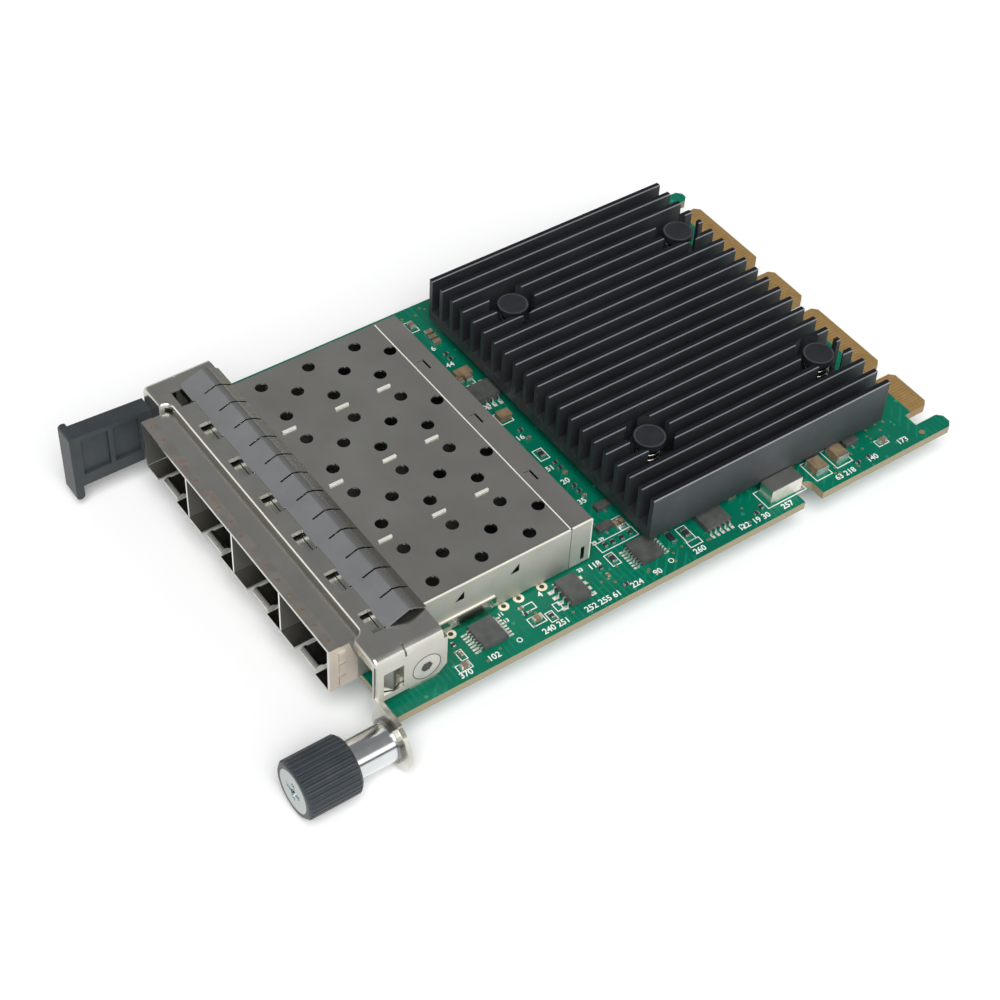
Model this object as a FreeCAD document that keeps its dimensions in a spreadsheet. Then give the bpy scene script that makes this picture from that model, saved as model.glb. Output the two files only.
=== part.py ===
import FreeCAD, Part
import os
import Sketcher

# A mezzanine network card: a green board with a gold card edge, a cage with four module bays, a folded
# steel bracket with a contact strip, a pull tab, a captive thumbscrew and a finned heatsink.
# Millimetres. X runs across the card, Y from the bays to the card edge, Z up. The origin is the middle
# of the board's front edge, on its top face.

SIZES = {
    # board
    "board_width": 76.0,
    "board_length": 115.0,
    "board_thick": 1.57,
    "key_slot_depth": 4.6,
    "outer_slot_depth": 5.6,
    "tongue_chamfer": 0.9,
    "tab_slot_far": -33.7,
    "tab_slot_near": 33.2,
    "tab_slot_width": 2.8,
    "key_far": -12.2,
    "key_middle": 0.35,
    "key_near": 21.05,
    "key_far_width": 3.5,
    "key_width": 2.8,
    "notch_front": 81.1,
    "notch_length": 4.0,
    "notch_depth": 3.7,
    "notch_radius": 1.2,
    "contact_pitch": 0.6,
    "contact_width": 0.4,
    "contact_length": 3.4,
    "contact_thick": 0.04,
    "contact_setback": 0.55,
    "wide_row_count": 28,
    "narrow_row_count": 14,
    # cage
    "cage_width": 57.0,
    "cage_top": 9.75,
    "cage_sheet": 0.4,
    "cage_front": -6.0,
    "cage_rear": 43.1,
    "cage_seam": 38.9,
    "seam_gap": 0.1,
    "floor_clearance": 0.05,
    "port_pitch": 14.25,
    "vent_diameter": 2.2,
    "vent_pitch": 9.14,
    "vent_front": 14.66,
    "vent_spread": 4.0,
    "divider_tab_length": 2.5,
    "divider_tab_proud": 0.3,
    "divider_tab_front": 13.3,
    "divider_tab_middle": 23.4,
    "divider_tab_rear": 31.6,
    "slot_clearance": 0.1,
    "leg_width": 0.7,
    "leg_length": 1.0,
    "leg_hole": 1.05,
    "leg_first": 15.8,
    "leg_second": 25.95,
    "leg_third": 28.9,
    "leg_fourth": 33.4,
    "wall_opening": 1.7,
    "wall_opening_front": 16.8,
    "wall_opening_rear": 27.2,
    "wall_opening_height": 6.3,
    "rear_slit_height": 2.8,
    "rear_slit_bottom": 1.3,
    "rear_slit_width": 0.7,
    "lance_pitch": 15.4,
    "lance_length": 2.6,
    "lance_slit": 0.35,
    "floor_rear": 29.5,
    "latch_width": 4.6,
    "latch_gap": 0.8,
    "latch_length": 13.5,
    "latch_setback": 0.6,
    "latch_roll": 0.75,
    "latch_roll_drop": 0.2,
    "latch_hole": 2.4,
    "floor_clip_front": 13.6,
    "floor_clip_rear": 24.5,
    "floor_clip_top": 3.2,
    "floor_clip_band": 1.3,
    "floor_clip_neck": 6.4,
    "collar_sheet": 0.2,
    "collar_depth": 2.0,
    "collar_side_depth": 5.0,
    "collar_shoulder": 5.3,
    "collar_bump": 0.3,
    # module connectors
    "socket_width": 11.6,
    "socket_depth": 9.6,
    "socket_height": 5.4,
    "socket_rear_gap": 0.9,
    "socket_slot_width": 9.2,
    "socket_slot_height": 1.4,
    "socket_slot_depth": 6.2,
    "socket_slot_bottom": 2.4,
    "terminal_pitch": 0.8,
    "terminal_width": 0.35,
    "terminal_thick": 0.2,
    "terminal_count": 10,
    # bracket
    "bracket_half_width": 35.4,
    "bracket_sheet": 0.8,
    "bracket_front": -2.2,
    "bracket_top": 11.2,
    "bracket_rear": 10.0,
    "side_rear": 10.7,
    "side_bottom": 1.7,
    "bend_radius": 1.6,
    "front_bend": 0.7,
    "bay_lip": 0.6,
    "bay_lip_round": 0.5,
    "lip_drop": 2.2,
    "bay_half_width": 29.2,
    "bay_rear": -0.45,
    "bay_radius": 1.4,
    "window_width": 4.55,
    "window_length": 2.25,
    "window_front": 0.85,
    "window_pitch": 9.53,
    "window_far": -29.25,
    "window_count": 7,
    "side_window_front": -0.7,
    "side_window_length": 3.6,
    "side_window_bottom": 2.9,
    "side_window_height": 4.9,
    "side_corner": 1.4,
    "relief_width": 0.3,
    "relief_front": 3.1,
    "tab_plate_drop": 3.2,
    "ear_radius": 5.1,
    "ear_hole": 5.0,
    "ear_corner": 41.5,
    "ear_top": 3.0,
    # contact strip
    "strip_far": -31.7,
    "strip_length": 62.0,
    "strip_sheet": 0.2,
    "finger_count": 13,
    "finger_gap": 0.3,
    "finger_root": 5.0,
    "crest_front": 7.15,
    "crest_rear": 8.3,
    "crest_height": 1.7,
    "crest_fall": 0.35,
    "hook_length": 1.5,
    "hook_bottom": 9.95,
    # side springs, screws and blocks
    "spring_sheet": 0.25,
    "spring_bow": 0.9,
    "screw_y": 7.0,
    "screw_z": 4.7,
    "screw_head": 5.0,
    "screw_head_depth": 0.8,
    "screw_diameter": 2.5,
    "screw_length": 4.2,
    "screw_recess": 2.0,
    "screw_recess_depth": 1.2,
    "block_length": 5.0,
    "block_height": 7.6,
    "block_depth": 4.4,
    "thread_clearance": 0.05,
    # pull tab
    "tab_near": -32.6,
    "tab_arm_thick": 3.2,
    "tab_plate_thick": 4.0,
    "tab_arm_bottom": -2.9,
    "tab_arm_top_front": 8.45,
    "tab_arm_top_rear": 7.7,
    "tab_plate_front": -17.2,
    "tab_plate_depth": 1.5,
    "tab_plate_bottom": -5.7,
    "tab_plate_top": 8.6,
    "tab_rib_y": -9.85,
    "tab_rib_width": 0.9,
    "tab_panel_bottom": -0.5,
    "tab_panel_top": 7.1,
    "tab_panel_depth": 0.55,
    "tab_panel_rear": -4.7,
    "tab_round": 0.7,
    "tab_screw_diameter": 1.6,
    "tab_screw_head": 2.4,
    "tab_screw_head_height": 0.8,
    "tab_screw_length": 5.0,
    "tab_screw_z": -0.9,
    # captive thumbscrew
    "thumb_x": 39.5,
    "thumb_z": -2.2,
    "sleeve_diameter": 6.4,
    "sleeve_front": -9.65,
    "sleeve_bore": 4.8,
    "sleeve_mouth": 4.0,
    "sleeve_lip": 0.5,
    "sleeve_end_wall": 1.3,
    "shank_diameter": 2.9,
    "shank_clearance": 0.1,
    "point_diameter": 2.2,
    "point_length": 1.6,
    "point_rear": -1.5,
    "grip_diameter": 9.8,
    "grip_front": -19.2,
    "grip_rear_gap": 0.1,
    "grip_bore_clearance": 0.2,
    "grip_wall_front": 3.6,
    "grip_chamfer": 0.5,
    "ridge_count": 32,
    "ridge_radius": 0.3,
    "cap_diameter": 7.4,
    "cap_thick": 1.0,
    "neck_diameter": 4.2,
    "cross_width": 0.9,
    "cross_length": 3.6,
    "cross_depth": 0.6,
    "ring_thick": 0.4,
    "ring_clearance": 0.1,
    "thumb_wire": 0.35,
    "thumb_coils": 4,
    # heatsink
    "sink_centre": 0.35,
    "sink_width": 63.5,
    "sink_front": 52.35,
    "sink_length": 50.6,
    "sink_bottom": 2.6,
    "sink_base": 2.0,
    "sink_top": 11.5,
    "fin_thick": 0.9,
    "fin_count": 21,
    "pin_spread": 38.5,
    "pin_front": 61.3,
    "pin_step": 36.7,
    "pin_pocket": 8.2,
    "pin_head": 5.5,
    "pin_head_thick": 1.1,
    "pin_head_top": 10.9,
    "pin_shaft": 2.6,
    "pin_hole": 3.1,
    "pin_barb": 3.6,
    "pin_barb_length": 1.8,
    "pin_wire": 0.6,
    "pin_coils": 4,
    "pin_spring_gap": 0.35,
    # parts on the board
    "chip_size": 25.0,
    "chip_height": 2.1,
    "pad_size": 20.0,
    "lead_thick": 0.15,
    "lead_width": 0.3,
    "lead_foot": 0.55,
    "lead_reach": 1.0,
    "inductor_x": 33.75,
    "inductor_y": 79.1,
    "inductor_width": 3.0,
    "inductor_length": 6.6,
    "inductor_height": 2.9,
    "overcut": 1.0,
}

doc = FreeCAD.newDocument("network_card")
sheet = doc.addObject("Spreadsheet::Sheet", "Sizes")
for row, (name, number) in enumerate(SIZES.items(), start=1):
    sheet.set(f"A{row}", name)
    sheet.set(f"B{row}", str(number))
    sheet.setAlias(f"B{row}", name)
doc.recompute()


class Length:
    # a number together with the formula that the document keeps for it
    def __init__(self, value, formula):
        self.value = float(value)
        self.formula = formula

    def __add__(self, other):
        other = length(other)
        return Length(self.value + other.value, f"({self.formula} + {other.formula})")

    def __sub__(self, other):
        other = length(other)
        return Length(self.value - other.value, f"({self.formula} - {other.formula})")

    def __mul__(self, factor):
        factor = length(factor)
        return Length(self.value * factor.value, f"({self.formula} * {factor.formula})")

    def __truediv__(self, divisor):
        divisor = length(divisor)
        return Length(self.value / divisor.value, f"({self.formula} / {divisor.formula})")

    def __neg__(self):
        return self * -1

    def __radd__(self, other):
        return length(other) + self

    def __rsub__(self, other):
        return length(other) - self

    def __rmul__(self, factor):
        return self * factor


def length(number):
    if isinstance(number, Length):
        return number
    return Length(number, repr(number))


class Drawing:
    pass


d = Drawing()
for name, number in SIZES.items():
    setattr(d, name, Length(number, "Sizes." + name))

zero = length(0)
pieces = []


def bind(thing, prop, size):
    thing.setExpression(prop, length(size).formula)


def keep(label, thing):
    thing.Label = label
    pieces.append(thing)
    return thing


# sketches: every corner and centre is dimensioned from the plane's own origin

def dimension(sketch, kind, geometry, point, size):
    size = length(size)
    index = sketch.addConstraint(Sketcher.Constraint(kind, -1, 1, geometry, point, size.value))
    if "Sizes." in size.formula:
        sketch.setExpression(f"Constraints[{index}]", size.formula)


def polygon(*corners):
    def draw(sketch):
        first = sketch.GeometryCount
        spots = [FreeCAD.Vector(length(u).value, length(v).value, 0) for u, v in corners]
        count = len(spots)
        for k in range(count):
            sketch.addGeometry(Part.LineSegment(spots[k], spots[(k + 1) % count]))
        for k in range(count):
            sketch.addConstraint(Sketcher.Constraint("Coincident", first + k, 2, first + (k + 1) % count, 1))
        for k, (u, v) in enumerate(corners):
            dimension(sketch, "DistanceX", first + k, 1, u)
            dimension(sketch, "DistanceY", first + k, 1, v)
    return draw


def rectangle(left, right, bottom, top):
    return polygon((left, bottom), (right, bottom), (right, top), (left, top))


def disc(u, v, diameter):
    def draw(sketch):
        radius = length(diameter) / 2
        centre = FreeCAD.Vector(length(u).value, length(v).value, 0)
        index = sketch.addGeometry(Part.Circle(centre, FreeCAD.Vector(0, 0, 1), radius.value))
        dimension(sketch, "DistanceX", index, 3, u)
        dimension(sketch, "DistanceY", index, 3, v)
        mark = sketch.addConstraint(Sketcher.Constraint("Radius", index, radius.value))
        sketch.setExpression(f"Constraints[{mark}]", radius.formula)
    return draw


def origin_feature(body, role):
    return [item for item in body.Origin.OriginFeatures if item.Role == role][0]


def new_sketch(body, plane, offset, shapes):
    sketch = body.newObject("Sketcher::SketchObject", "Sketch")
    sketch.AttachmentSupport = [(origin_feature(body, plane + "_Plane"), "")]
    sketch.MapMode = "FlatFace"
    bind(sketch, "AttachmentOffset.Base.z", offset)
    for draw in shapes:
        draw(sketch)
    return sketch


# the XZ plane looks along +Y, so there depth counts the other way

def pad(body, plane, low, high, *shapes):
    start = -length(high) if plane == "XZ" else low
    feature = body.newObject("PartDesign::Pad", "Pad")
    feature.Profile = new_sketch(body, plane, start, shapes)
    bind(feature, "Length", length(high) - low)
    return feature


def pocket(body, plane, low, high, *shapes):
    start = -length(low) if plane == "XZ" else high
    feature = body.newObject("PartDesign::Pocket", "Pocket")
    feature.Profile = new_sketch(body, plane, start, shapes)
    bind(feature, "Length", length(high) - low)
    return feature


def revolve(body, plane, axis, *shapes):
    feature = body.newObject("PartDesign::Revolution", "Revolution")
    feature.Profile = new_sketch(body, plane, zero, shapes)
    feature.ReferenceAxis = (origin_feature(body, axis + "_Axis"), [""])
    feature.Angle = 360
    return feature


def repeat(body, feature, axis, pitch, count):
    pattern = body.newObject("PartDesign::LinearPattern", "Row")
    pattern.Originals = [feature]
    pattern.Direction = (origin_feature(body, axis + "_Axis"), [""])
    pattern.Mode = "Spacing"
    bind(pattern, "Offset", pitch)
    bind(pattern, "Occurrences", count)
    body.Tip = pattern
    return pattern


def dress(body, kind, prop, size, test):
    doc.recompute()
    base = body.Tip
    names = [f"Edge{k}" for k, edge in enumerate(base.Shape.Edges, start=1) if test(edge)]
    feature = body.newObject("PartDesign::" + kind, kind)
    feature.Base = (base, names)
    bind(feature, prop, size)
    return feature


def near(value, target):
    return abs(value - length(target).value) < 0.01


def along(edge, axis):
    box = edge.BoundBox
    spans = {"X": box.XLength, "Y": box.YLength, "Z": box.ZLength}
    return spans.pop(axis) > 0.05 and max(spans.values()) < 0.01


def new_body(label):
    return keep(label, doc.addObject("PartDesign::Body", label))


# primitives

def block(label, x, y, z):
    box = doc.addObject("Part::Box", label)
    for prop, corner, (low, high) in zip(("Length", "Width", "Height"), "xyz", (x, y, z)):
        bind(box, prop, length(high) - low)
        bind(box, "Placement.Base." + corner, low)
    return box


TURNS = {
    "X": FreeCAD.Rotation(FreeCAD.Vector(0, 1, 0), 90),
    "Y": FreeCAD.Rotation(FreeCAD.Vector(1, 0, 0), -90),
    "Z": FreeCAD.Rotation(),
}


def rest_at(thing, axis, x, y, z):
    thing.Placement = FreeCAD.Placement(FreeCAD.Vector(), TURNS[axis])
    for corner, size in zip("xyz", (x, y, z)):
        bind(thing, "Placement.Base." + corner, size)
    return thing


def rod(label, axis, x, y, z, diameter, height):
    cylinder = rest_at(doc.addObject("Part::Cylinder", label), axis, x, y, z)
    bind(cylinder, "Radius", length(diameter) / 2)
    bind(cylinder, "Height", height)
    return cylinder


def join(label, *things):
    fused = doc.addObject("Part::MultiFuse", label)
    fused.Shapes = list(things)
    return fused


def group(label, *things):
    compound = doc.addObject("Part::Compound", label)
    compound.Links = list(things)
    return compound


def carve(label, base, tool):
    cut = doc.addObject("Part::Cut", label)
    cut.Base = base
    cut.Tool = tool
    return cut


def coil(label, axis, x, y, z, mean_radius, wire, height, turns):
    # a helix whose wire lies wholly inside the height
    path = rest_at(doc.addObject("Part::Helix", label + "_path"), axis, x, y, z)
    bind(path, "Radius", mean_radius)
    bind(path, "Height", height)
    bind(path, "Pitch", length(height) / turns)
    path.SegmentLength = 1  # a face for each turn
    ring = doc.addObject("Part::Circle", label + "_section")
    bind(ring, "Radius", length(wire) / 2)
    start = TURNS[axis].multVec(FreeCAD.Vector(1, 0, 0))
    lift = {"x": start.x, "y": start.y, "z": start.z}
    turn = TURNS[axis].multiply(FreeCAD.Rotation(FreeCAD.Vector(1, 0, 0), 90))
    ring.Placement = FreeCAD.Placement(FreeCAD.Vector(), turn)
    for corner, size in zip("xyz", (x, y, z)):
        bind(ring, "Placement.Base." + corner, length(size) + mean_radius * round(lift[corner]))
    doc.recompute()
    sweep = doc.addObject("Part::Sweep", label)
    sweep.Sections = [ring]
    sweep.Spine = (path, [f"Edge{k}" for k in range(1, len(path.Shape.Edges) + 1)])
    sweep.Solid = True
    sweep.Frenet = True
    return sweep


half_board = d.board_width / 2
half_cage = d.cage_width / 2
cage_bottom = d.cage_sheet + d.floor_clearance
port_centres = [d.port_pitch * (k - 1.5) for k in range(4)]
divider_centres = [d.port_pitch * (k - 1) for k in range(3)]
leg_rows = (d.leg_first, d.leg_second, d.leg_third, d.leg_fourth)
leg_line = half_cage - d.cage_sheet / 2
leg_bottom = -d.board_thick - d.leg_length
divider_leg = d.leg_fourth + 1.6
cover_leg = d.port_pitch * 1.25
pin_places = [
    (d.sink_centre + d.pin_spread / 2 * side, d.pin_front + d.pin_step * k)
    for side in (-1, 1) for k in (0, 1)
]
chip_x = d.sink_centre
chip_y = d.sink_front + d.sink_length / 2


# board

def key_slot(centre, width, depth):
    return rectangle(centre - width / 2, centre + width / 2, d.board_length - depth, d.board_length + d.overcut)


def circuit_board():
    body = new_body("circuit_board")
    pad(body, "XY", -d.board_thick, zero, rectangle(-half_board, half_board, zero, d.board_length))
    below = -d.board_thick - d.overcut
    pocket(
        body, "XY", below, d.overcut,
        key_slot(d.tab_slot_far, d.tab_slot_width, d.key_slot_depth),
        key_slot(d.key_far, d.key_far_width, d.key_slot_depth),
        key_slot(d.key_middle, d.key_width, d.key_slot_depth),
        key_slot(d.key_near, d.key_width, d.key_slot_depth),
        key_slot(d.tab_slot_near, d.tab_slot_width, d.outer_slot_depth),
        rectangle(half_board - d.notch_depth, half_board + d.overcut,
                  d.notch_front, d.notch_front + d.notch_length),
    )
    holes = [disc(leg_line * side, row, d.leg_hole) for side in (-1, 1) for row in leg_rows]
    holes += [disc(centre, divider_leg, d.leg_hole) for centre in divider_centres]
    holes += [disc(cover_leg * side, d.cage_rear - d.cage_sheet / 2, d.leg_hole) for side in (-1, 1)]
    holes += [disc(x, y, d.pin_hole) for x, y in pin_places]
    pocket(body, "XY", below, d.overcut, *holes)
    dress(body, "Chamfer", "Size", d.tongue_chamfer,
          lambda edge: along(edge, "Z") and near(edge.CenterOfMass.y, d.board_length))
    inner_corner = d.notch_front + d.notch_length
    dress(body, "Fillet", "Radius", d.notch_radius,
          lambda edge: along(edge, "Z") and near(edge.CenterOfMass.y, inner_corner)
          and near(edge.CenterOfMass.x, half_board - d.notch_depth))


def edge_contacts():
    body = new_body("edge_contacts")
    tongues = (
        (d.tab_slot_far + d.tab_slot_width / 2, d.key_far - d.key_far_width / 2, d.wide_row_count),
        (d.key_far + d.key_far_width / 2, d.key_middle - d.key_width / 2, d.narrow_row_count),
        (d.key_middle + d.key_width / 2, d.key_near - d.key_width / 2, d.wide_row_count),
        (d.key_near + d.key_width / 2, d.tab_slot_near - d.tab_slot_width / 2, d.narrow_row_count),
    )
    rear = d.board_length - d.contact_setback
    for left, right, count in tongues:
        first = (left + right) / 2 - d.contact_pitch * (count - 1) / 2
        for low in (zero, -d.board_thick - d.contact_thick):
            strip = rectangle(first - d.contact_width / 2, first + d.contact_width / 2,
                              rear - d.contact_length, rear)
            row = pad(body, "XY", low, low + d.contact_thick, strip)
            repeat(body, row, "X", d.contact_pitch, count)


# cage

def shell_profile(outer, top, sheet):
    inner = outer - sheet
    return polygon(
        (-outer, cage_bottom), (-outer, top), (outer, top), (outer, cage_bottom),
        (inner, cage_bottom), (inner, top - sheet), (-inner, top - sheet), (-inner, cage_bottom),
    )


def leg(x, y):
    return rectangle(x - d.cage_sheet / 2, x + d.cage_sheet / 2, y - d.leg_width / 2, y + d.leg_width / 2)


def cage_shell():
    body = new_body("cage_shell")
    pad(body, "XZ", d.cage_front, d.cage_seam, shell_profile(half_cage, d.cage_top, d.cage_sheet))
    pad(body, "XY", leg_bottom, cage_bottom, *[leg(leg_line * side, row) for side in (-1, 1) for row in leg_rows])
    below = d.cage_top - d.cage_sheet - d.overcut
    first = port_centres[0]
    vents = []
    for row in range(3):
        y = d.vent_front + d.vent_pitch * row
        vents.append(disc(first - d.vent_spread, y, d.vent_diameter))
        vents.append(disc(first + d.vent_spread, y, d.vent_diameter))
        vents.append(disc(first, y + d.vent_pitch / 2, d.vent_diameter))
    row = pocket(body, "XY", below, d.cage_top + d.overcut, *vents)
    repeat(body, row, "X", d.port_pitch, 4)
    half_slot = d.divider_tab_length / 2 + d.slot_clearance
    slot_side = d.cage_sheet / 2 + d.slot_clearance
    first = divider_centres[0]
    slots = [
        rectangle(first - slot_side, first + slot_side, y - half_slot, y + half_slot)
        for y in (d.divider_tab_front, d.divider_tab_middle, d.divider_tab_rear)
    ]
    row = pocket(body, "XY", below, d.cage_top + d.overcut, *slots)
    repeat(body, row, "X", d.port_pitch, 3)
    bottom = d.wall_opening_height
    openings = [
        polygon((y, bottom), (y + d.wall_opening, bottom), (y + d.wall_opening, bottom + d.wall_opening))
        for y in (d.wall_opening_front, d.wall_opening_rear)
    ]
    pocket(body, "YZ", -half_cage - d.overcut, half_cage + d.overcut, *openings)


def cage_rear_cover():
    body = new_body("cage_rear_cover")
    front = d.cage_seam + d.seam_gap
    pad(body, "XZ", front, d.cage_rear, shell_profile(half_cage, d.cage_top, d.cage_sheet))
    pad(body, "XZ", d.cage_rear - d.cage_sheet, d.cage_rear,
        rectangle(-half_cage, half_cage, cage_bottom, d.cage_top))
    rear_line = d.cage_rear - d.cage_sheet / 2
    legs = [
        rectangle(cover_leg * side - d.leg_width / 2, cover_leg * side + d.leg_width / 2,
                  rear_line - d.cage_sheet / 2, rear_line + d.cage_sheet / 2)
        for side in (-1, 1)
    ]
    pad(body, "XY", leg_bottom, cage_bottom, *legs)
    slit_rear = d.cage_rear - d.cage_sheet * 3
    pocket(body, "YZ", -half_cage - d.overcut, half_cage + d.overcut,
           rectangle(slit_rear - d.rear_slit_width, slit_rear, d.rear_slit_bottom,
                     d.rear_slit_bottom + d.rear_slit_height))
    middle = (front + d.cage_rear) / 2
    left = -d.lance_pitch - d.lance_length / 2
    reach = d.lance_length / 2
    lance = polygon(
        (left, middle - reach), (left + d.lance_slit, middle - reach),
        (left + d.lance_slit, middle - d.lance_slit), (left + d.lance_length, middle - d.lance_slit),
        (left + d.lance_length, middle), (left, middle),
    )
    row = pocket(body, "XY", d.cage_top - d.cage_sheet - d.overcut, d.cage_top + d.overcut, lance)
    repeat(body, row, "X", d.lance_pitch, 3)


def cage_dividers():
    underside = d.cage_top - d.cage_sheet
    for number, centre in enumerate(divider_centres, start=1):
        sides = (centre - d.cage_sheet / 2, centre + d.cage_sheet / 2)
        body = new_body(f"cage_divider_{number}")
        plate = rectangle(d.cage_front + d.floor_clearance, d.cage_seam, cage_bottom, underside)
        pad(body, "YZ", sides[0], sides[1], plate)
        tabs = [
            rectangle(y - d.divider_tab_length / 2, y + d.divider_tab_length / 2,
                      underside, d.cage_top + d.divider_tab_proud)
            for y in (d.divider_tab_front, d.divider_tab_middle, d.divider_tab_rear)
        ]
        foot = rectangle(divider_leg - d.leg_width / 2, divider_leg + d.leg_width / 2, leg_bottom, cage_bottom)
        pad(body, "YZ", sides[0], sides[1], foot, *tabs)


def cage_floor():
    body = new_body("cage_floor")
    inner = half_cage - d.cage_sheet - d.floor_clearance
    pad(body, "XY", zero, d.cage_sheet, rectangle(-inner, inner, d.cage_front, d.floor_rear))
    first = port_centres[0]
    half_latch = d.latch_width / 2
    outer_latch = half_latch + d.latch_gap
    tip = d.cage_front + d.latch_setback
    slots = polygon(
        (first - outer_latch, d.cage_front - d.overcut), (first + outer_latch, d.cage_front - d.overcut),
        (first + outer_latch, tip + d.latch_length), (first + half_latch, tip + d.latch_length),
        (first + half_latch, tip), (first - half_latch, tip),
        (first - half_latch, tip + d.latch_length), (first - outer_latch, tip + d.latch_length),
    )
    row = pocket(body, "XY", -d.overcut, d.cage_sheet + d.overcut, slots)
    repeat(body, row, "X", d.port_pitch, 4)
    hole_front = tip + d.latch_length / 3
    catch = polygon(
        (first - d.latch_hole / 2, hole_front), (first + d.latch_hole / 2, hole_front),
        (first, hole_front + d.latch_hole),
    )
    row = pocket(body, "XY", -d.overcut, d.cage_sheet + d.overcut, catch)
    repeat(body, row, "X", d.port_pitch, 4)
    roll = disc(tip + d.latch_roll, d.cage_sheet / 2 - d.latch_roll_drop, d.latch_roll * 2)
    row = pad(body, "YZ", first - half_latch, first + half_latch, roll)
    repeat(body, row, "X", d.port_pitch, 4)
    neck_rear = d.floor_clip_rear - d.slot_clearance * 7
    neck_front = neck_rear - d.floor_clip_neck
    outside = half_cage + d.floor_clearance
    for side in (-1, 1):
        edges = sorted((inner * side, (outside + d.cage_sheet) * side), key=lambda edge: edge.value)
        pad(body, "XY", zero, d.cage_sheet, rectangle(edges[0], edges[1], neck_front, neck_rear))
        edges = sorted((outside * side, (outside + d.cage_sheet) * side), key=lambda edge: edge.value)
        pad(body, "YZ", edges[0], edges[1], polygon(
            (neck_front, zero), (neck_rear, zero),
            (neck_rear, d.floor_clip_top - d.floor_clip_band),
            (d.floor_clip_rear, d.floor_clip_top - d.floor_clip_band),
            (d.floor_clip_rear, d.floor_clip_top), (d.floor_clip_front, d.floor_clip_top),
            (d.floor_clip_front, d.floor_clip_top - d.floor_clip_band),
            (neck_front, d.floor_clip_top - d.floor_clip_band),
        ))


def nose_collar():
    body = new_body("nose_collar")
    outer = half_cage + d.collar_sheet
    top = d.cage_top + d.collar_sheet
    rear = d.cage_front + d.collar_depth
    side_rear = d.cage_front + d.collar_side_depth
    bands = polygon(
        (-outer, cage_bottom), (-outer, top), (outer, top), (outer, cage_bottom),
        (half_cage, cage_bottom), (half_cage, d.cage_top), (-half_cage, d.cage_top), (-half_cage, cage_bottom),
    )
    pad(body, "XZ", d.cage_front, rear, bands)
    shoulder = (rear + side_rear) / 2
    cheek = polygon(
        (rear, cage_bottom), (side_rear, cage_bottom), (side_rear, d.collar_shoulder),
        (shoulder, top - d.collar_sheet), (rear, top - d.collar_sheet),
    )
    pad(body, "YZ", half_cage, outer, cheek)
    pad(body, "YZ", -outer, -half_cage, cheek)
    step = (d.cage_top - cage_bottom) / 3.4
    bumps = [
        rectangle(rear - d.collar_sheet * 2, rear + d.collar_sheet * 4,
                  cage_bottom + step * (k + 0.25), cage_bottom + step * (k + 1))
        for k in range(3)
    ]
    pad(body, "YZ", outer, outer + d.collar_bump, *bumps)
    pad(body, "YZ", -outer - d.collar_bump, -outer, *bumps)


# module connectors

def module_sockets():
    rear = d.cage_rear - d.cage_sheet - d.socket_rear_gap
    front = rear - d.socket_depth
    slot_top = d.socket_slot_bottom + d.socket_slot_height
    for number, centre in enumerate(port_centres, start=1):
        body = new_body(f"module_socket_{number}")
        half = d.socket_width / 2
        pad(body, "XY", zero, d.socket_height, rectangle(centre - half, centre + half, front, rear))
        mouth = d.socket_slot_width / 2
        pocket(body, "XZ", front - d.overcut, front + d.socket_slot_depth,
               rectangle(centre - mouth, centre + mouth, d.socket_slot_bottom, slot_top))


def socket_terminals():
    body = new_body("socket_terminals")
    rear = d.cage_rear - d.cage_sheet - d.socket_rear_gap
    front = rear - d.socket_depth
    slot_top = d.socket_slot_bottom + d.socket_slot_height
    for centre in port_centres:
        first = centre - d.terminal_pitch * (d.terminal_count - 1) / 2
        for low in (d.socket_slot_bottom, slot_top - d.terminal_thick):
            bar = rectangle(first - d.terminal_width / 2, first + d.terminal_width / 2,
                            front + d.terminal_width, front + d.socket_slot_depth)
            row = pad(body, "XY", low, low + d.terminal_thick, bar)
            repeat(body, row, "X", d.terminal_pitch, d.terminal_count)


# bracket

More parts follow.
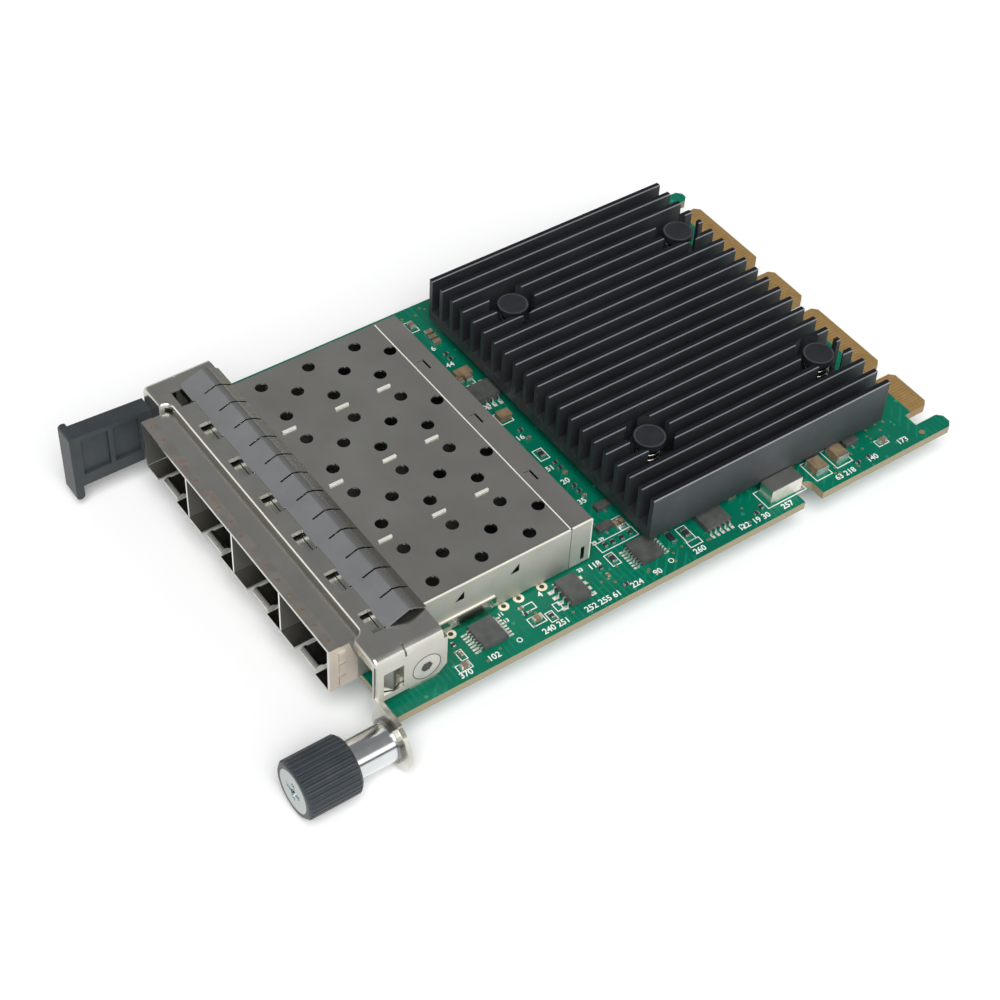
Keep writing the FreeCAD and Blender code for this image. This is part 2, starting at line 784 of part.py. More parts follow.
def bracket():
    body = new_body("bracket")
    outer = d.bracket_half_width
    inner = outer - d.bracket_sheet
    underside = d.bracket_top - d.bracket_sheet
    pad(body, "XZ", d.bracket_front, d.side_rear, polygon(
        (-outer, d.side_bottom), (-outer, d.bracket_top), (outer, d.bracket_top), (outer, d.side_bottom),
        (inner, d.side_bottom), (inner, underside), (-inner, underside), (-inner, d.side_bottom),
    ))
    face_rear = d.bracket_front + d.bracket_sheet
    pad(body, "XZ", d.bracket_front, face_rear,
        rectangle(-outer, outer, d.bracket_top - d.lip_drop, d.bracket_top))
    pad(body, "XZ", d.bracket_front, face_rear,
        rectangle(-outer, -d.bay_half_width, -d.tab_plate_drop, d.bracket_top))
    pad(body, "XZ", d.bracket_front, face_rear,
        rectangle(inner, d.thumb_x, d.thumb_z - d.ear_radius, d.thumb_z + d.ear_radius))
    pad(body, "XZ", d.bracket_front, face_rear, rectangle(inner, d.ear_corner, d.thumb_z, d.ear_top))
    pad(body, "XZ", d.bracket_front, face_rear, disc(d.thumb_x, d.thumb_z, d.ear_radius * 2))
    dress(body, "Fillet", "Radius", d.bend_radius,
          lambda edge: along(edge, "Y") and near(abs(edge.CenterOfMass.x), outer)
          and near(edge.CenterOfMass.z, d.bracket_top))
    dress(body, "Fillet", "Radius", d.front_bend,
          lambda edge: along(edge, "X") and near(edge.CenterOfMass.y, d.bracket_front)
          and near(edge.CenterOfMass.z, d.bracket_top))
    top_cut = d.bracket_top + d.overcut
    pocket(body, "XY", -d.tab_plate_drop - d.overcut, top_cut,
           rectangle(-d.bay_half_width, d.bay_half_width, d.bracket_front - d.overcut, d.bay_rear))
    dress(body, "Fillet", "Radius", d.bay_radius,
          lambda edge: along(edge, "Z") and near(edge.CenterOfMass.y, d.bay_rear)
          and near(abs(edge.CenterOfMass.x), d.bay_half_width))
    pad(body, "XZ", d.bay_rear, d.bay_rear + d.bay_lip,
        rectangle(-d.bay_half_width, d.bay_half_width, d.cage_top + d.floor_clearance, underside))
    dress(body, "Fillet", "Radius", d.bay_lip_round,
          lambda edge: along(edge, "X") and near(edge.CenterOfMass.y, d.bay_rear)
          and near(edge.CenterOfMass.z, d.bracket_top))
    half = d.window_width / 2
    windows = pocket(body, "XY", underside - d.overcut, top_cut,
                     rectangle(d.window_far - half, d.window_far + half,
                               d.window_front, d.window_front + d.window_length))
    repeat(body, windows, "X", d.window_pitch, d.window_count)
    pocket(body, "XY", underside - d.overcut, top_cut,
           rectangle(-outer - d.overcut, outer + d.overcut, d.bracket_rear, d.side_rear + d.overcut))
    window = rectangle(d.side_window_front, d.side_window_front + d.side_window_length,
                       d.side_window_bottom, d.side_window_bottom + d.side_window_height)
    relief = rectangle(d.relief_front, d.relief_front + d.relief_width,
                       underside - d.bend_radius / 2, top_cut)
    pocket(body, "YZ", -outer - d.overcut, outer + d.overcut, window)
    pocket(body, "YZ", outer - d.bend_radius, outer + d.overcut, relief)
    pocket(body, "YZ", -outer - d.overcut, -outer + d.bend_radius, relief)
    hole = disc(d.screw_y, d.screw_z, d.screw_diameter + d.thread_clearance * 2)
    pocket(body, "YZ", -outer - d.overcut, outer + d.overcut, hole)
    dress(body, "Chamfer", "Size", d.side_corner,
          lambda edge: along(edge, "X") and near(edge.CenterOfMass.y, d.side_rear)
          and near(edge.CenterOfMass.z, d.side_bottom))
    pocket(body, "XZ", d.bracket_front - d.overcut, face_rear + d.overcut, disc(d.thumb_x, d.thumb_z, d.ear_hole))
    pocket(body, "XZ", d.bracket_front - d.overcut, face_rear + d.overcut,
           disc(d.tab_near - d.tab_arm_thick / 2, d.tab_screw_z, d.tab_screw_diameter + d.thread_clearance * 2))
    sink_depth = d.screw_head_depth
    for side in (-1, 1):
        cone = body.newObject("PartDesign::SubtractiveCone", "Countersink")
        bind(cone, "Radius1", (d.screw_diameter / 2 + d.thread_clearance))
        bind(cone, "Radius2", d.screw_head / 2 + d.thread_clearance)
        bind(cone, "Height", sink_depth)
        turn = FreeCAD.Rotation(FreeCAD.Vector(0, 1, 0), 90 * side)
        cone.AttachmentOffset = FreeCAD.Placement(FreeCAD.Vector(), turn)
        cone.AttachmentSupport = [(origin_feature(body, "XY_Plane"), "")]
        cone.MapMode = "FlatFace"
        bind(cone, "AttachmentOffset.Base.x", (outer - sink_depth) * side)
        bind(cone, "AttachmentOffset.Base.y", d.screw_y)
        bind(cone, "AttachmentOffset.Base.z", d.screw_z)


def contact_strip():
    body = new_body("contact_strip")
    sheet_thick = d.strip_sheet
    base = d.bracket_top
    lead = d.window_front + d.window_length
    rear_in = d.bracket_rear + d.floor_clearance
    under = d.bracket_top - d.bracket_sheet - d.floor_clearance
    crest = base + d.crest_height
    shoulder = crest - d.crest_fall
    profile = polygon(
        (lead, base), (lead, base + sheet_thick),
        (d.crest_front, crest), (d.crest_rear, shoulder),
        (rear_in + sheet_thick, base + sheet_thick), (rear_in + sheet_thick, under - sheet_thick),
        (rear_in - d.hook_length / 2, under - sheet_thick), (rear_in - d.hook_length / 2, under),
        (rear_in, under), (rear_in, base),
        (d.crest_rear - sheet_thick / 2, shoulder - sheet_thick), (d.crest_front, crest - sheet_thick),
        (lead + sheet_thick * 2, base),
    )
    pad(body, "YZ", d.strip_far, d.strip_far + d.strip_length, profile)
    half = (d.window_width - d.finger_gap) / 2
    front = lead - sheet_thick * 1.5
    hook = pad(body, "YZ", d.window_far - half, d.window_far + half, polygon(
        (front, d.hook_bottom), (front + sheet_thick, d.hook_bottom),
        (front + sheet_thick, base), (lead + sheet_thick, base),
        (lead + sheet_thick, base + sheet_thick), (front, base + sheet_thick),
    ))
    repeat(body, hook, "X", d.window_pitch, d.window_count)
    step = d.strip_length / d.finger_count
    first = d.strip_far + step
    slot = pocket(body, "XY", base + d.floor_clearance, crest + d.overcut,
                  rectangle(first - d.finger_gap / 2, first + d.finger_gap / 2, d.finger_root, d.bracket_rear))
    repeat(body, slot, "X", step, d.finger_count - 1)


def side_springs():
    inner = d.bracket_half_width - d.bracket_sheet
    front = d.side_window_front
    rear = front + d.side_window_length
    middle = (front + rear) / 2
    thick = d.spring_sheet
    low = d.side_window_bottom + d.slot_clearance * 2
    high = d.side_window_bottom + d.side_window_height - d.slot_clearance * 2
    for side, word in ((-1, "far"), (1, "near")):
        body = new_body(f"side_spring_{word}")
        bow = d.spring_bow - thick
        seat = inner - thick
        corners = [
            (inner, front - thick), (inner, front + thick), (inner + bow, middle), (inner, rear - thick),
            (inner, rear + thick * 2), (seat, rear + thick * 2), (seat, rear - thick), (inner + bow - thick, middle),
            (seat, front + thick), (seat, front - thick),
        ]
        pad(body, "XY", low, high, polygon(*[(x * side, y) for x, y in corners]))


def bracket_screws():
    outer = d.bracket_half_width
    screws = []
    for side, axis in ((-1, "far"), (1, "near")):
        turn = FreeCAD.Rotation(FreeCAD.Vector(0, 1, 0), -90 * side)
        head = doc.addObject("Part::Cone", f"screw_head_{axis}")
        bind(head, "Radius1", d.screw_head / 2)
        bind(head, "Radius2", d.screw_diameter / 2)
        bind(head, "Height", d.screw_head_depth)
        shank = doc.addObject("Part::Cylinder", f"screw_shank_{axis}")
        bind(shank, "Radius", d.screw_diameter / 2)
        bind(shank, "Height", d.screw_length)
        recess = doc.addObject("Part::Prism", f"screw_recess_{axis}")
        recess.Polygon = 6
        bind(recess, "Circumradius", d.screw_recess / 2)
        bind(recess, "Height", d.screw_recess_depth)
        for item in (head, shank, recess):
            item.Placement = FreeCAD.Placement(FreeCAD.Vector(), turn)
            bind(item, "Placement.Base.x", outer * side)
            bind(item, "Placement.Base.y", d.screw_y)
            bind(item, "Placement.Base.z", d.screw_z)
        screws.append(carve(f"screw_{axis}", join(f"screw_body_{axis}", head, shank), recess))
    keep("bracket_screws", group("bracket_screws", *screws))


def bracket_blocks():
    inner = d.bracket_half_width - d.bracket_sheet
    hole = d.screw_diameter + d.thread_clearance * 2
    for side, word in ((-1, "far"), (1, "near")):
        edges = sorted((inner * side, (inner - d.block_depth) * side), key=lambda edge: edge.value)
        cube = block(f"block_{word}_solid", edges, (d.screw_y - d.block_length / 2, d.screw_y + d.block_length / 2),
                     (zero, d.block_height))
        bore = rod(f"block_{word}_bore", "X", edges[0] - d.overcut, d.screw_y, d.screw_z, hole,
                   d.block_depth + d.overcut * 2)
        keep(f"bracket_block_{word}", carve(f"bracket_block_{word}", cube, bore))


# pull tab

def pull_tab():
    body = new_body("pull_tab")
    near_face = d.tab_near
    arm_far = near_face - d.tab_arm_thick
    plate_rear = d.tab_plate_front + d.tab_plate_depth
    pad(body, "YZ", arm_far, near_face, polygon(
        (plate_rear, d.tab_arm_bottom), (d.bracket_front, d.tab_arm_bottom),
        (d.bracket_front, d.tab_arm_top_rear), (plate_rear, d.tab_arm_top_front),
    ))
    pad(body, "YZ", near_face - d.tab_plate_thick, near_face, rectangle(
        d.tab_plate_front, plate_rear, d.tab_plate_bottom, d.tab_plate_top))
    dress(body, "Fillet", "Radius", d.tab_round,
          lambda edge: along(edge, "X") and (near(edge.CenterOfMass.y, d.tab_plate_front)
          or near(edge.CenterOfMass.y, plate_rear) and not near(edge.CenterOfMass.z, d.tab_arm_bottom)
          and not near(edge.CenterOfMass.z, d.tab_arm_top_front)))
    panels = [
        rectangle(plate_rear + d.tab_rib_width / 2, d.tab_rib_y - d.tab_rib_width / 2,
                  d.tab_panel_bottom, d.tab_panel_top),
        rectangle(d.tab_rib_y + d.tab_rib_width / 2, d.tab_panel_rear, d.tab_panel_bottom, d.tab_panel_top),
    ]
    pocket(body, "YZ", near_face - d.tab_panel_depth, near_face + d.overcut, *panels)
    pocket(body, "YZ", arm_far - d.overcut, arm_far + d.tab_panel_depth, *panels)
    pocket(body, "XZ", d.bracket_front - d.tab_screw_length, d.bracket_front + d.overcut,
           disc(near_face - d.tab_arm_thick / 2, d.tab_screw_z, d.tab_screw_diameter + d.thread_clearance * 2))


def pull_tab_screw():
    x = d.tab_near - d.tab_arm_thick / 2
    face_rear = d.bracket_front + d.bracket_sheet
    reach = d.tab_screw_length - d.floor_clearance * 2
    shank = rod("tab_screw_shank", "Y", x, d.bracket_front - reach, d.tab_screw_z, d.tab_screw_diameter,
                reach + d.bracket_sheet + d.tab_screw_head_height / 2)
    head = rod("tab_screw_head", "Y", x, face_rear, d.tab_screw_z, d.tab_screw_head, d.tab_screw_head_height)
    keep("pull_tab_screw", join("pull_tab_screw", shank, head))


# captive thumbscrew: turned pieces drawn about the Y axis, then set on the ear's hole

def turned(label, *shapes):
    body = new_body(label)
    revolve(body, "XY", "Y", *shapes)
    bind(body, "Placement.Base.x", d.thumb_x)
    bind(body, "Placement.Base.z", d.thumb_z)
    return body


shank_radius = d.shank_diameter / 2
bore_radius = d.sleeve_bore / 2
sleeve_end = d.bracket_front + d.bracket_sheet
bore_end = sleeve_end - d.sleeve_end_wall
ring_front = d.sleeve_front + d.sleeve_lip + d.floor_clearance
grip_rear = d.sleeve_front - d.grip_rear_gap
grip_inner = d.grip_front + d.grip_wall_front


def thumbscrew_sleeve():
    outer = d.sleeve_diameter / 2
    spigot = d.ear_hole / 2 - d.floor_clearance
    hole = shank_radius + d.shank_clearance
    turned("thumbscrew_sleeve", polygon(
        (d.sleeve_mouth / 2, d.sleeve_front), (outer, d.sleeve_front), (outer, d.bracket_front),
        (spigot, d.bracket_front), (spigot, sleeve_end), (hole, sleeve_end), (hole, bore_end),
        (bore_radius, bore_end), (bore_radius, d.sleeve_front + d.sleeve_lip),
        (d.sleeve_mouth / 2, d.sleeve_front + d.sleeve_lip),
    ))


def thumbscrew():
    cap = d.cap_diameter / 2
    neck = d.neck_diameter / 2
    point = d.point_diameter / 2
    cap_rear = d.grip_front + d.cap_thick
    body = turned("thumbscrew", polygon(
        (zero, d.grip_front), (cap, d.grip_front), (cap, cap_rear), (neck, cap_rear),
        (neck, grip_inner), (shank_radius, grip_inner), (shank_radius, d.point_rear - d.point_length),
        (point, d.point_rear - d.point_length), (point, d.point_rear - point / 2),
        (point / 2, d.point_rear), (zero, d.point_rear),
    ))
    arm = d.cross_length / 2
    half = d.cross_width / 2
    cross = polygon(
        (-arm, -half), (-half, -half), (-half, -arm), (half, -arm), (half, -half), (arm, -half),
        (arm, half), (half, half), (half, arm), (-half, arm), (-half, half), (-arm, half),
    )
    pocket(body, "XZ", d.grip_front - d.overcut, d.grip_front + d.cross_depth, cross)


def thumbscrew_grip():
    outer = d.grip_diameter / 2
    bore = d.sleeve_diameter / 2 + d.grip_bore_clearance
    cap = d.cap_diameter / 2
    neck = d.neck_diameter / 2
    cap_rear = d.grip_front + d.cap_thick
    edge = d.grip_chamfer
    body = turned("thumbscrew_grip", polygon(
        (cap, d.grip_front), (outer - edge, d.grip_front), (outer, d.grip_front + edge),
        (outer, grip_rear - edge), (outer - edge, grip_rear), (bore, grip_rear),
        (bore, grip_inner), (neck, grip_inner), (neck, cap_rear), (cap, cap_rear),
    ))
    groove = pocket(body, "XZ", d.grip_front - d.overcut, grip_rear + d.overcut,
                    disc(outer, zero, d.ridge_radius * 2))
    ring = body.newObject("PartDesign::PolarPattern", "Ridges")
    ring.Originals = [groove]
    ring.Axis = (origin_feature(body, "Y_Axis"), [""])
    ring.Angle = 360
    bind(ring, "Occurrences", d.ridge_count)
    body.Tip = ring


def retaining_ring():
    turned("retaining_ring", rectangle(
        shank_radius + d.shank_clearance / 2, bore_radius - d.ring_clearance,
        ring_front, ring_front + d.ring_thick))


def thumbscrew_spring():
    low = ring_front + d.ring_thick + d.thumb_wire / 2
    high = bore_end - d.thumb_wire / 2
    radius = (shank_radius + bore_radius) / 2
    keep("thumbscrew_spring", coil("thumbscrew_spring", "Y", d.thumb_x, low, d.thumb_z, radius,
                                   d.thumb_wire, high - low, d.thumb_coils))


# heatsink and what holds it

def heatsink():
    body = new_body("heatsink")
    left = d.sink_centre - d.sink_width / 2
    rear = d.sink_front + d.sink_length
    base_top = d.sink_bottom + d.sink_base
    pad(body, "XY", d.sink_bottom, base_top, rectangle(left, left + d.sink_width, d.sink_front, rear))
    fin = pad(body, "XY", base_top, d.sink_top, rectangle(left, left + d.fin_thick, d.sink_front, rear))
    repeat(body, fin, "X", (d.sink_width - d.fin_thick) / (d.fin_count - 1), d.fin_count)
    pocket(body, "XY", base_top, d.sink_top + d.overcut, *[disc(x, y, d.pin_pocket) for x, y in pin_places])
    pocket(body, "XY", d.sink_bottom - d.overcut, base_top + d.overcut,
           *[disc(x, y, d.pin_hole) for x, y in pin_places])


def push_pins():
    head_low = d.pin_head_top - d.pin_head_thick
    barb_top = -d.board_thick - d.floor_clearance
    barb_low = barb_top - d.pin_barb_length
    pins = []
    for number, (x, y) in enumerate(pin_places, start=1):
        head = rod(f"pin_{number}_head", "Z", x, y, head_low, d.pin_head, d.pin_head_thick)
        shaft = rod(f"pin_{number}_shaft", "Z", x, y, barb_low, d.pin_shaft, head_low - barb_low)
        barb = rest_at(doc.addObject("Part::Cone", f"pin_{number}_barb"), "Z", x, y, barb_low)
        bind(barb, "Radius1", d.pin_shaft / 3)
        bind(barb, "Radius2", d.pin_barb / 2)
        bind(barb, "Height", d.pin_barb_length)
        pins.append(join(f"pin_{number}", head, shaft, barb))
    keep("push_pins", group("push_pins", *pins))


def push_pin_springs():
    low = d.sink_bottom + d.sink_base + d.pin_wire / 2
    high = d.pin_head_top - d.pin_head_thick - d.pin_wire / 2
    radius = (d.pin_shaft + d.pin_wire) / 2 + d.pin_spring_gap
    springs = [
        coil(f"pin_spring_{number}", "Z", x, y, low, radius, d.pin_wire, high - low, d.pin_coils)
        for number, (x, y) in enumerate(pin_places, start=1)
    ]
    keep("push_pin_springs", group("push_pin_springs", *springs))


def centred(middle, size):
    return (middle - length(size) / 2, middle + length(size) / 2)


def network_chip():
    chip = block("network_chip", centred(chip_x, d.chip_size), centred(chip_y, d.chip_size), (zero, d.chip_height))
    keep("network_chip", chip)
    paste = block("thermal_pad", centred(chip_x, d.pad_size), centred(chip_y, d.pad_size),
                  (d.chip_height, d.sink_bottom))
    keep("thermal_pad", paste)


# leaded chips: name, middle x, middle y, size x, size y, height, side the leads are on, pitch, leads a side
LEADED = (
    ("port_driver_chip", 32.4, 20.45, 4.9, 4.4, 1.0, "Y", 0.65, 7),
    ("memory_chip", 32.7, 36.65, 4.9, 3.7, 1.5, "Y", 1.27, 4),
    ("monitor_chip", 32.1, 51.6, 4.7, 4.2, 1.0, "Y", 0.65, 7),
    ("regulator_chip", 32.6, 65.25, 3.9, 4.9, 1.0, "X", 1.0, 5),
    ("flash_chip", -12.0, 50.4, 4.0, 4.9, 1.4, "X", 1.27, 4),
)


def leaded_chips():
    leads = new_body("chip_leads")
    for label, x, y, size_x, size_y, height, side_axis, pitch, count in LEADED:
        keep(label, block(label, centred(length(x), size_x), centred(length(y), size_y),
                          (d.lead_thick, d.lead_thick + height)))
        reach = size_x / 2 if side_axis == "X" else size_y / 2
        across, centre = (x, y) if side_axis == "X" else (y, x)
        first = length(centre) - pitch * (count - 1) / 2
        mid = d.lead_thick + height / 2
        for side in (-1, 1):
            edge = length(across) + reach * side
            foot = edge + d.lead_reach * side
            knee = edge + (d.lead_reach - d.lead_foot) * side
            # gull wing: shoulder at mid height, foot on the board
            outline = [
                (edge, mid), (knee, mid), (knee, d.lead_thick), (foot, d.lead_thick), (foot, zero),
                (knee - d.lead_thick * side, zero), (knee - d.lead_thick * side, mid - d.lead_thick),
                (edge, mid - d.lead_thick),
            ]
            if side_axis == "X":
                row = pad(leads, "XZ", first - d.lead_width / 2, first + d.lead_width / 2, polygon(*outline))
                repeat(leads, row, "Y", pitch, count)
            else:
                row = pad(leads, "YZ", first - d.lead_width / 2, first + d.lead_width / 2, polygon(*outline))
                repeat(leads, row, "X", pitch, count)


def power_inductor():
    keep("power_inductor", block(
        "power_inductor", centred(d.inductor_x, d.inductor_width), centred(d.inductor_y, d.inductor_length),
        (zero, d.inductor_height)))


# chip capacitors and resistors: middle x, middle y, size x, size y, height
CAPACITORS = (
    (33.2, 87.7, 3.2, 2.4, 1.6), (32.8, 92.6, 3.2, 2.4, 1.6), (-33.3, 49.9, 1.6, 0.9, 0.8),
    (34.1, 28.7, 0.9, 1.6, 0.8), (-18.0, 50.4, 1.8, 3.0, 1.2), (-5.6, 50.4, 1.8, 2.4, 1.2),
)
RESISTORS = (
    (34.8, 31.1, 1.0, 0.6, 0.4), (30.5, 46.4, 1.6, 0.8, 0.5), (27.6, 48.6, 1.0, 0.6, 0.4),
    (27.6, 50.4, 1.0, 0.6, 0.4), (25.0, 52.0, 2.0, 0.8, 0.5), (32.0, 57.1, 2.4, 0.9, 0.5),
)


def small_parts(label, table):
    items = [
        block(f"{label}_{number}", centred(length(x), size_x), centred(length(y), size_y), (zero, height))
        for number, (x, y, size_x, size_y, height) in enumerate(table, start=1)
    ]
    keep(label, group(label, *items))


circuit_board()
edge_contacts()
cage_shell()
cage_rear_cover()
cage_dividers()
cage_floor()
nose_collar()
module_sockets()
socket_terminals()
bracket()
contact_strip()
side_springs()
bracket_screws()
bracket_blocks()
pull_tab()
pull_tab_screw()
thumbscrew_sleeve()
thumbscrew()
thumbscrew_grip()
retaining_ring()
thumbscrew_spring()
heatsink()
push_pins()
push_pin_springs()
network_chip()
leaded_chips()
power_inductor()
small_parts("capacitors", CAPACITORS)
small_parts("resistors", RESISTORS)
doc.recompute()

for thing in doc.Objects:
    if "Invalid" in thing.State or "Error" in thing.State:
        raise RuntimeError(f"{thing.Label} did not build: {thing.State}")
for piece in pieces:
    if piece.Shape.isNull() or not piece.Shape.isValid():
        raise RuntimeError(f"{piece.Label} has no valid shape")

os.makedirs("parts", exist_ok=True)
for piece in pieces:
    piece.Shape.exportStep(f"parts/{piece.Label}.step")
print(len(pieces), "pieces written")
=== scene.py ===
import math
import random

import bmesh
import bpy
from mathutils import Matrix, Vector


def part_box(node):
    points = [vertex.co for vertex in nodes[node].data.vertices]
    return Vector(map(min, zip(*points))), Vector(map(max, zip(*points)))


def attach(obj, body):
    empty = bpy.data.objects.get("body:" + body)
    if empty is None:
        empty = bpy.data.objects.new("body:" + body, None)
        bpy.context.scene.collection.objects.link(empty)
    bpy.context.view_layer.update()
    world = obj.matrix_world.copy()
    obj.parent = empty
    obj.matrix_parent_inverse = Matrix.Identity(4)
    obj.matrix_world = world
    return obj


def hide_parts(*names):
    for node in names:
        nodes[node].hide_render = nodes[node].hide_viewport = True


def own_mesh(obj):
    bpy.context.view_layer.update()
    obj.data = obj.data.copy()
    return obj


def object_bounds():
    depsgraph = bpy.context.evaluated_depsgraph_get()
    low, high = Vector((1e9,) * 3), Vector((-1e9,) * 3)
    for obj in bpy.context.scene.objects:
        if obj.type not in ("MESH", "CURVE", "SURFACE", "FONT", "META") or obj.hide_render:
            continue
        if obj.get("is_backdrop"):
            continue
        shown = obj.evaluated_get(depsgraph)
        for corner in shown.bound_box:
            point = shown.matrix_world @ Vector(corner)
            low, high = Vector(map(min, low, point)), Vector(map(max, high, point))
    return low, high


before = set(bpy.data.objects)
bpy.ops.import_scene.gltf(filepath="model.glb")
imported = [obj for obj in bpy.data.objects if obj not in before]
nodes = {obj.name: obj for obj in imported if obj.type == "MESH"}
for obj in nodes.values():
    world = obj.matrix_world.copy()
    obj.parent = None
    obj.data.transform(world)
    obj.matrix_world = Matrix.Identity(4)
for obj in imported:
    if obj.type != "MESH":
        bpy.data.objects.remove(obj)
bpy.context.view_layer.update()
mm = 0.001
print("card loaded:", len(nodes), "parts")


# materials

def startMaterial(name):
    material = bpy.data.materials.new(name)
    material.use_nodes = True
    tree = material.node_tree
    coords = tree.nodes.new("ShaderNodeTexCoord").outputs["Object"]
    return material, tree, tree.nodes["Principled BSDF"], coords


def stretched(tree, coords, scale):
    mapping = tree.nodes.new("ShaderNodeMapping")
    mapping.inputs["Scale"].default_value = scale
    tree.links.new(coords, mapping.inputs["Vector"])
    return mapping.outputs["Vector"]


def noise(tree, coords, scale, detail=4, rough=0.55):
    node = tree.nodes.new("ShaderNodeTexNoise")
    node.inputs["Scale"].default_value = scale
    node.inputs["Detail"].default_value = detail
    node.inputs["Roughness"].default_value = rough
    tree.links.new(coords, node.inputs["Vector"])
    return node.outputs["Fac"]


def ramp(tree, value, stops):
    node = tree.nodes.new("ShaderNodeValToRGB")
    while len(node.color_ramp.elements) < len(stops):
        node.color_ramp.elements.new(0.5)
    for element, (place, color) in zip(node.color_ramp.elements, stops):
        element.position = place
        element.color = (*color, 1)
    tree.links.new(value, node.inputs["Fac"])
    return node.outputs["Color"]


def spread(tree, value, low, high):
    node = tree.nodes.new("ShaderNodeMapRange")
    node.inputs["To Min"].default_value = low
    node.inputs["To Max"].default_value = high
    tree.links.new(value, node.inputs["Value"])
    return node.outputs["Result"]


def fade(tree, value, start, end):
    node = tree.nodes.new("ShaderNodeMapRange")
    node.inputs["From Min"].default_value = start
    node.inputs["From Max"].default_value = end
    tree.links.new(value, node.inputs["Value"])
    return node.outputs["Result"]


def axes(tree, vector):
    node = tree.nodes.new("ShaderNodeSeparateXYZ")
    tree.links.new(vector, node.inputs["Vector"])
    return node.outputs


def normals(tree):
    return axes(tree, tree.nodes.new("ShaderNodeNewGeometry").outputs["Normal"])


def bump(tree, shader, value, strength, depth):
    node = tree.nodes.new("ShaderNodeBump")
    node.inputs["Strength"].default_value = strength
    node.inputs["Distance"].default_value = depth * mm
    tree.links.new(value, node.inputs["Height"])
    tree.links.new(node.outputs["Normal"], shader.inputs["Normal"])


def mixColor(tree, factor, first, second):
    node = tree.nodes.new("ShaderNodeMix")
    node.data_type = "RGBA"
    tree.links.new(factor, node.inputs["Factor"])
    for socket, value in ((node.inputs[6], first), (node.inputs[7], second)):
        if isinstance(value, tuple):
            socket.default_value = (*value, 1)
        else:
            tree.links.new(value, socket)
    return node.outputs[2]


def arithmetic(tree, operation, first, second):
    node = tree.nodes.new("ShaderNodeMath")
    node.operation = operation
    for socket, value in zip(node.inputs, (first, second)):
        if isinstance(value, (int, float)):
            socket.default_value = value
        else:
            tree.links.new(value, socket)
    return node.outputs["Value"]


def absolute(tree, value):
    return arithmetic(tree, "ABSOLUTE", value, 0)


def product(tree, first, *others):
    for other in others:
        first = arithmetic(tree, "MULTIPLY", first, other)
    return first


# what the finishes share: where a noise gives the dark and the light colour, the scale and detail
# of a grain, and how far a normal must point along an axis for its face to count as facing it
darkest, lightest = 0.3, 0.7
brushed, brushedDetail = 60, 3
squarely = 0.7


def metalFinish(name, look):
    material, tree, shader, coords = startMaterial(name)
    shader.inputs["Metallic"].default_value = look.get("metallic", 1)
    cloud = noise(tree, coords, look["cloudScale"])
    grain = noise(tree, stretched(tree, coords, look["grain"]), brushed, brushedDetail)
    color = ramp(tree, cloud, [(darkest, look["dark"]), (lightest, look["light"])])
    rough = spread(tree, grain, *look["rough"])
    facing, place = normals(tree), axes(tree, coords)
    if "sideRough" in look:  # faces turned sideways are duller
        sideways = arithmetic(tree, "GREATER_THAN", absolute(tree, facing["X"]), squarely)
        rough = arithmetic(tree, "ADD", rough, product(tree, sideways, look["sideRough"]))
    # painted shade: faces turned to the front get a darker colour
    if "front" in look:  # faces turned to the front are darker
        front = arithmetic(tree, "LESS_THAN", facing["Y"], -squarely)
        color = mixColor(tree, front, color, look["front"])
    # painted shade: colour darkened behind the crest
    if "crest" in look:  # darker behind the crest
        start, end, behindColor = look["crest"]
        color = mixColor(tree, fade(tree, place["Y"], start * mm, end * mm), color, behindColor)
    # painted shade: colour darkened inside, where little light gets, except on the front edges
    if "paintedShadeWide" in look:  # little light gets inside, except on the front edges
        across = arithmetic(tree, "LESS_THAN", absolute(tree, place["X"]), look["paintedShadeWide"] * mm)
        under = arithmetic(tree, "LESS_THAN", place["Z"], look["paintedShadeTop"] * mm)
        behind = arithmetic(tree, "GREATER_THAN", facing["Y"], -0.5)
        color = mixColor(tree, product(tree, across, under, behind), color, look["inside"])
    tree.links.new(color, shader.inputs["Base Color"])
    tree.links.new(rough, shader.inputs["Roughness"])
    bump(tree, shader, grain, look["bump"], 0.04)
    return material


def plasticFinish(name, look):
    material, tree, shader, coords = startMaterial(name)
    cloud = noise(tree, coords, look["cloudScale"])
    grain = noise(tree, coords, look["grainScale"], 6, 0.7)
    color = ramp(tree, cloud, [(darkest, look["dark"]), (lightest, look["light"])])
    tree.links.new(color, shader.inputs["Base Color"])
    tree.links.new(spread(tree, grain, *look["rough"]), shader.inputs["Roughness"])
    shader.inputs["Specular IOR Level"].default_value = look.get("glare", 0.5)
    bump(tree, shader, grain, look["bump"], 0.05)
    return material


